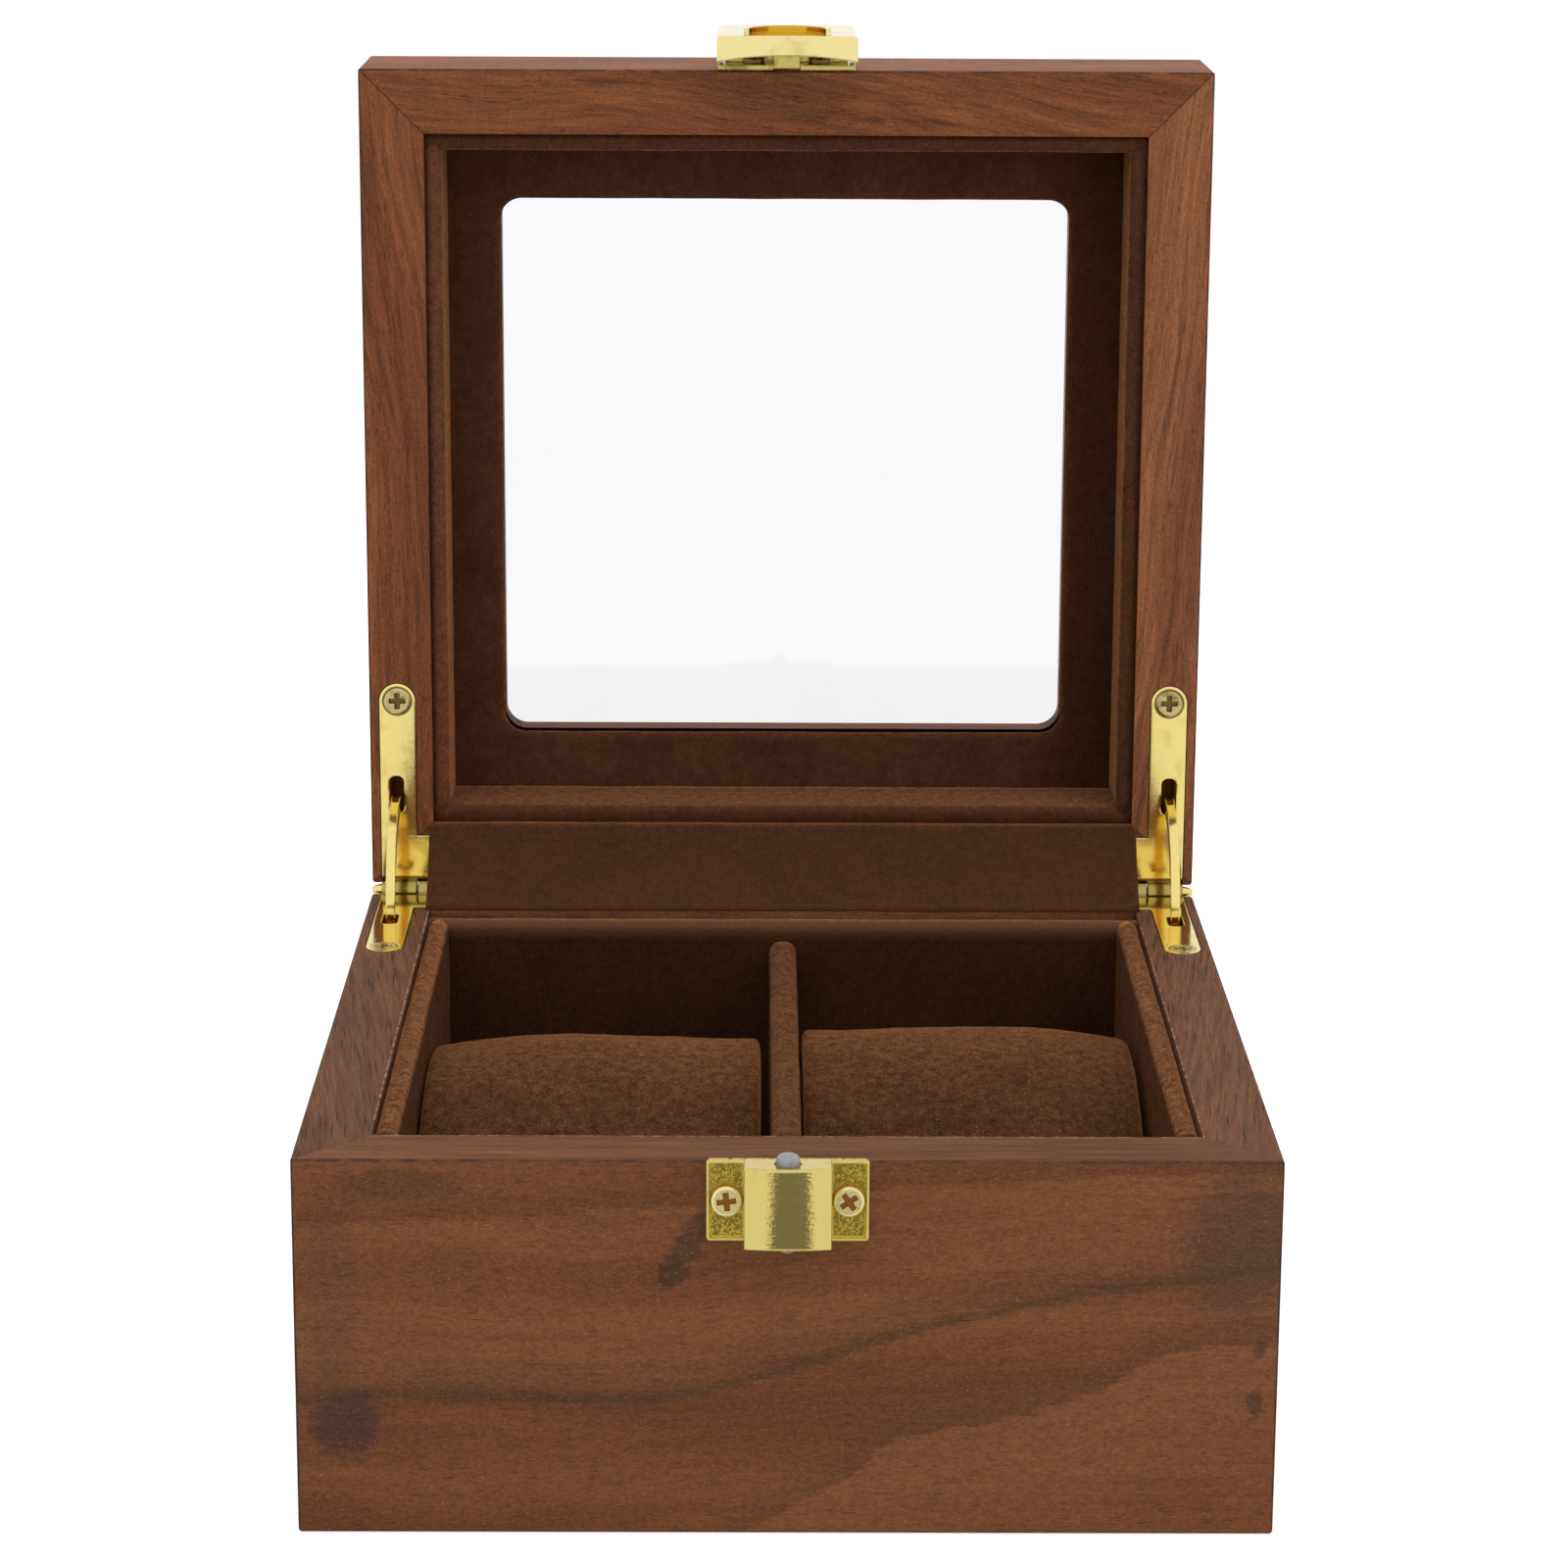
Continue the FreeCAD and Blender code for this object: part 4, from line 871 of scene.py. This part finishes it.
def seen_directly(tree):
    """1 for rays from the camera, or by way of gloss or glass, and 0 for diffuse light."""
    path = tree.nodes.new("ShaderNodeLightPath")
    total = path.outputs["Is Camera Ray"]
    for name in ("Is Glossy Ray", "Is Transmission Ray"):
        pick = tree.nodes.new("ShaderNodeMath")
        pick.operation = "MAXIMUM"
        tree.links.new(total, pick.inputs[0])
        tree.links.new(path.outputs[name], pick.inputs[1])
        total = pick.outputs[0]
    return total


def studio_world(light):
    """Even light all round, which shows as white behind the box."""
    world = bpy.data.worlds.new("studio")
    bpy.context.scene.world = world
    world.use_nodes = True
    tree = world.node_tree
    tree.nodes.clear()
    soft = tree.nodes.new("ShaderNodeBackground")
    soft.inputs["Strength"].default_value = light
    white = tree.nodes.new("ShaderNodeBackground")
    for background in (soft, white):
        background.inputs["Color"].default_value = (1.0, 1.0, 1.0, 1.0)
    mix = tree.nodes.new("ShaderNodeMixShader")
    out = tree.nodes.new("ShaderNodeOutputWorld")
    tree.links.new(seen_directly(tree), mix.inputs[0])
    tree.links.new(soft.outputs[0], mix.inputs[1])
    tree.links.new(white.outputs[0], mix.inputs[2])
    tree.links.new(mix.outputs[0], out.inputs[0])


def floor():
    """Pale paper that shows white to the camera and to polished metal, and keeps the shadow."""
    mesh = bpy.data.meshes.new("floor")
    reach = 8.0
    corners = [(-reach, -reach, 0), (reach, -reach, 0), (reach, reach, 0), (-reach, reach, 0)]
    mesh.from_pydata(corners, [], [(0, 1, 2, 3)])
    ground = bpy.data.objects.new("floor", mesh)
    bpy.context.scene.collection.objects.link(ground)
    ground.location.z = -0.05 * MM
    material = bpy.data.materials.new("floor_paper")
    material.use_nodes = True
    tree = material.node_tree
    tree.nodes.clear()
    paper = tree.nodes.new("ShaderNodeBsdfDiffuse")
    paper.inputs["Color"].default_value = (0.80, 0.80, 0.80, 1.0)
    lift = tree.nodes.new("ShaderNodeEmission")
    lift.inputs["Strength"].default_value = 0.52
    shown = tree.nodes.new("ShaderNodeAddShader")
    mirrored = tree.nodes.new("ShaderNodeEmission")
    mirrored.inputs["Strength"].default_value = 1.0
    path = tree.nodes.new("ShaderNodeLightPath")
    camera = tree.nodes.new("ShaderNodeMixShader")
    gloss = tree.nodes.new("ShaderNodeMixShader")
    out = tree.nodes.new("ShaderNodeOutputMaterial")
    for target, first, second in (
        (shown, paper, lift),
        (camera, paper, shown),
        (gloss, camera, mirrored),
    ):
        tree.links.new(first.outputs[0], target.inputs[-2])
        tree.links.new(second.outputs[0], target.inputs[-1])
    through = tree.nodes.new("ShaderNodeMath")
    through.operation = "MAXIMUM"
    tree.links.new(path.outputs["Is Camera Ray"], through.inputs[0])
    tree.links.new(path.outputs["Is Transmission Ray"], through.inputs[1])
    tree.links.new(through.outputs[0], camera.inputs[0])
    tree.links.new(path.outputs["Is Glossy Ray"], gloss.inputs[0])
    tree.links.new(gloss.outputs[0], out.inputs[0])
    mesh.materials.append(material)


def dark_card(name, corners, grey):
    """A dark studio card that only polished metal sees."""
    mesh = bpy.data.meshes.new(name)
    mesh.from_pydata(corners, [], [(0, 1, 2, 3)])
    card = bpy.data.objects.new(name, mesh)
    bpy.context.scene.collection.objects.link(card)
    material = bpy.data.materials.new(name)
    material.use_nodes = True
    tree = material.node_tree
    tree.nodes.clear()
    glow = tree.nodes.new("ShaderNodeEmission")
    glow.inputs["Color"].default_value = (grey, grey, grey, 1.0)
    out = tree.nodes.new("ShaderNodeOutputMaterial")
    tree.links.new(glow.outputs[0], out.inputs[0])
    mesh.materials.append(material)
    card.visible_camera = card.visible_diffuse = card.visible_shadow = card.visible_transmission = False


def soft_box(name, place, aim, size, watts):
    light = bpy.data.lights.new(name, "AREA")
    light.shape = "RECTANGLE"
    light.size, light.size_y = size
    light.energy = watts
    lamp = bpy.data.objects.new(name, light)
    lamp.location = place
    lamp.rotation_euler = (Vector(aim) - Vector(place)).to_track_quat("-Z", "Y").to_euler()
    lamp.visible_glossy = False
    bpy.context.scene.collection.objects.link(lamp)


def photo_camera():
    """The camera that fits the photograph, from its measured corners."""
    yaw, pitch, roll = (math.radians(a) for a in (-0.4123, 14.3057, 0.306))
    right = Vector((math.cos(yaw), math.sin(yaw), 0))
    ahead = Vector((-math.sin(yaw) * math.cos(pitch), math.cos(yaw) * math.cos(pitch), -math.sin(pitch)))
    up = right.cross(ahead)
    axis_x = right * math.cos(roll) + up * math.sin(roll)
    axis_y = up * math.cos(roll) - right * math.sin(roll)
    data = bpy.data.cameras.new("camera")
    data.sensor_width = 36.0
    data.lens = 36.0 * 4538.1 / 1600
    data.clip_start, data.clip_end = 0.01, 50.0
    camera = bpy.data.objects.new("camera", data)
    matrix = Matrix((axis_x, axis_y, -ahead)).transposed().to_4x4()
    matrix.translation = Vector((-4.737, -614.263, 243.522)) * MM
    camera.matrix_world = matrix
    bpy.context.scene.collection.objects.link(camera)
    bpy.context.scene.camera = camera


studio_world(0.66)
floor()
card_corners = [(-0.022, -0.28, 0.0), (0.035, -0.28, 0.0), (0.021, -0.13, 0.0), (-0.016, -0.13, 0.0)]
dark_card("floor_card", card_corners, 0.25)
soft_box("key", (-0.55, -0.85, 1.05), (0, 0, 0.08), (0.8, 0.8), 1.8)
soft_box("fill", (1.0, -0.65, 0.75), (0, 0, 0.08), (0.6, 0.6), 3.0)
soft_box("top", (0.0, -0.05, 1.35), (0, 0.0, 0.05), (0.9, 0.9), 9.0)
photo_camera()
bpy.context.scene.view_settings.view_transform = "Standard"
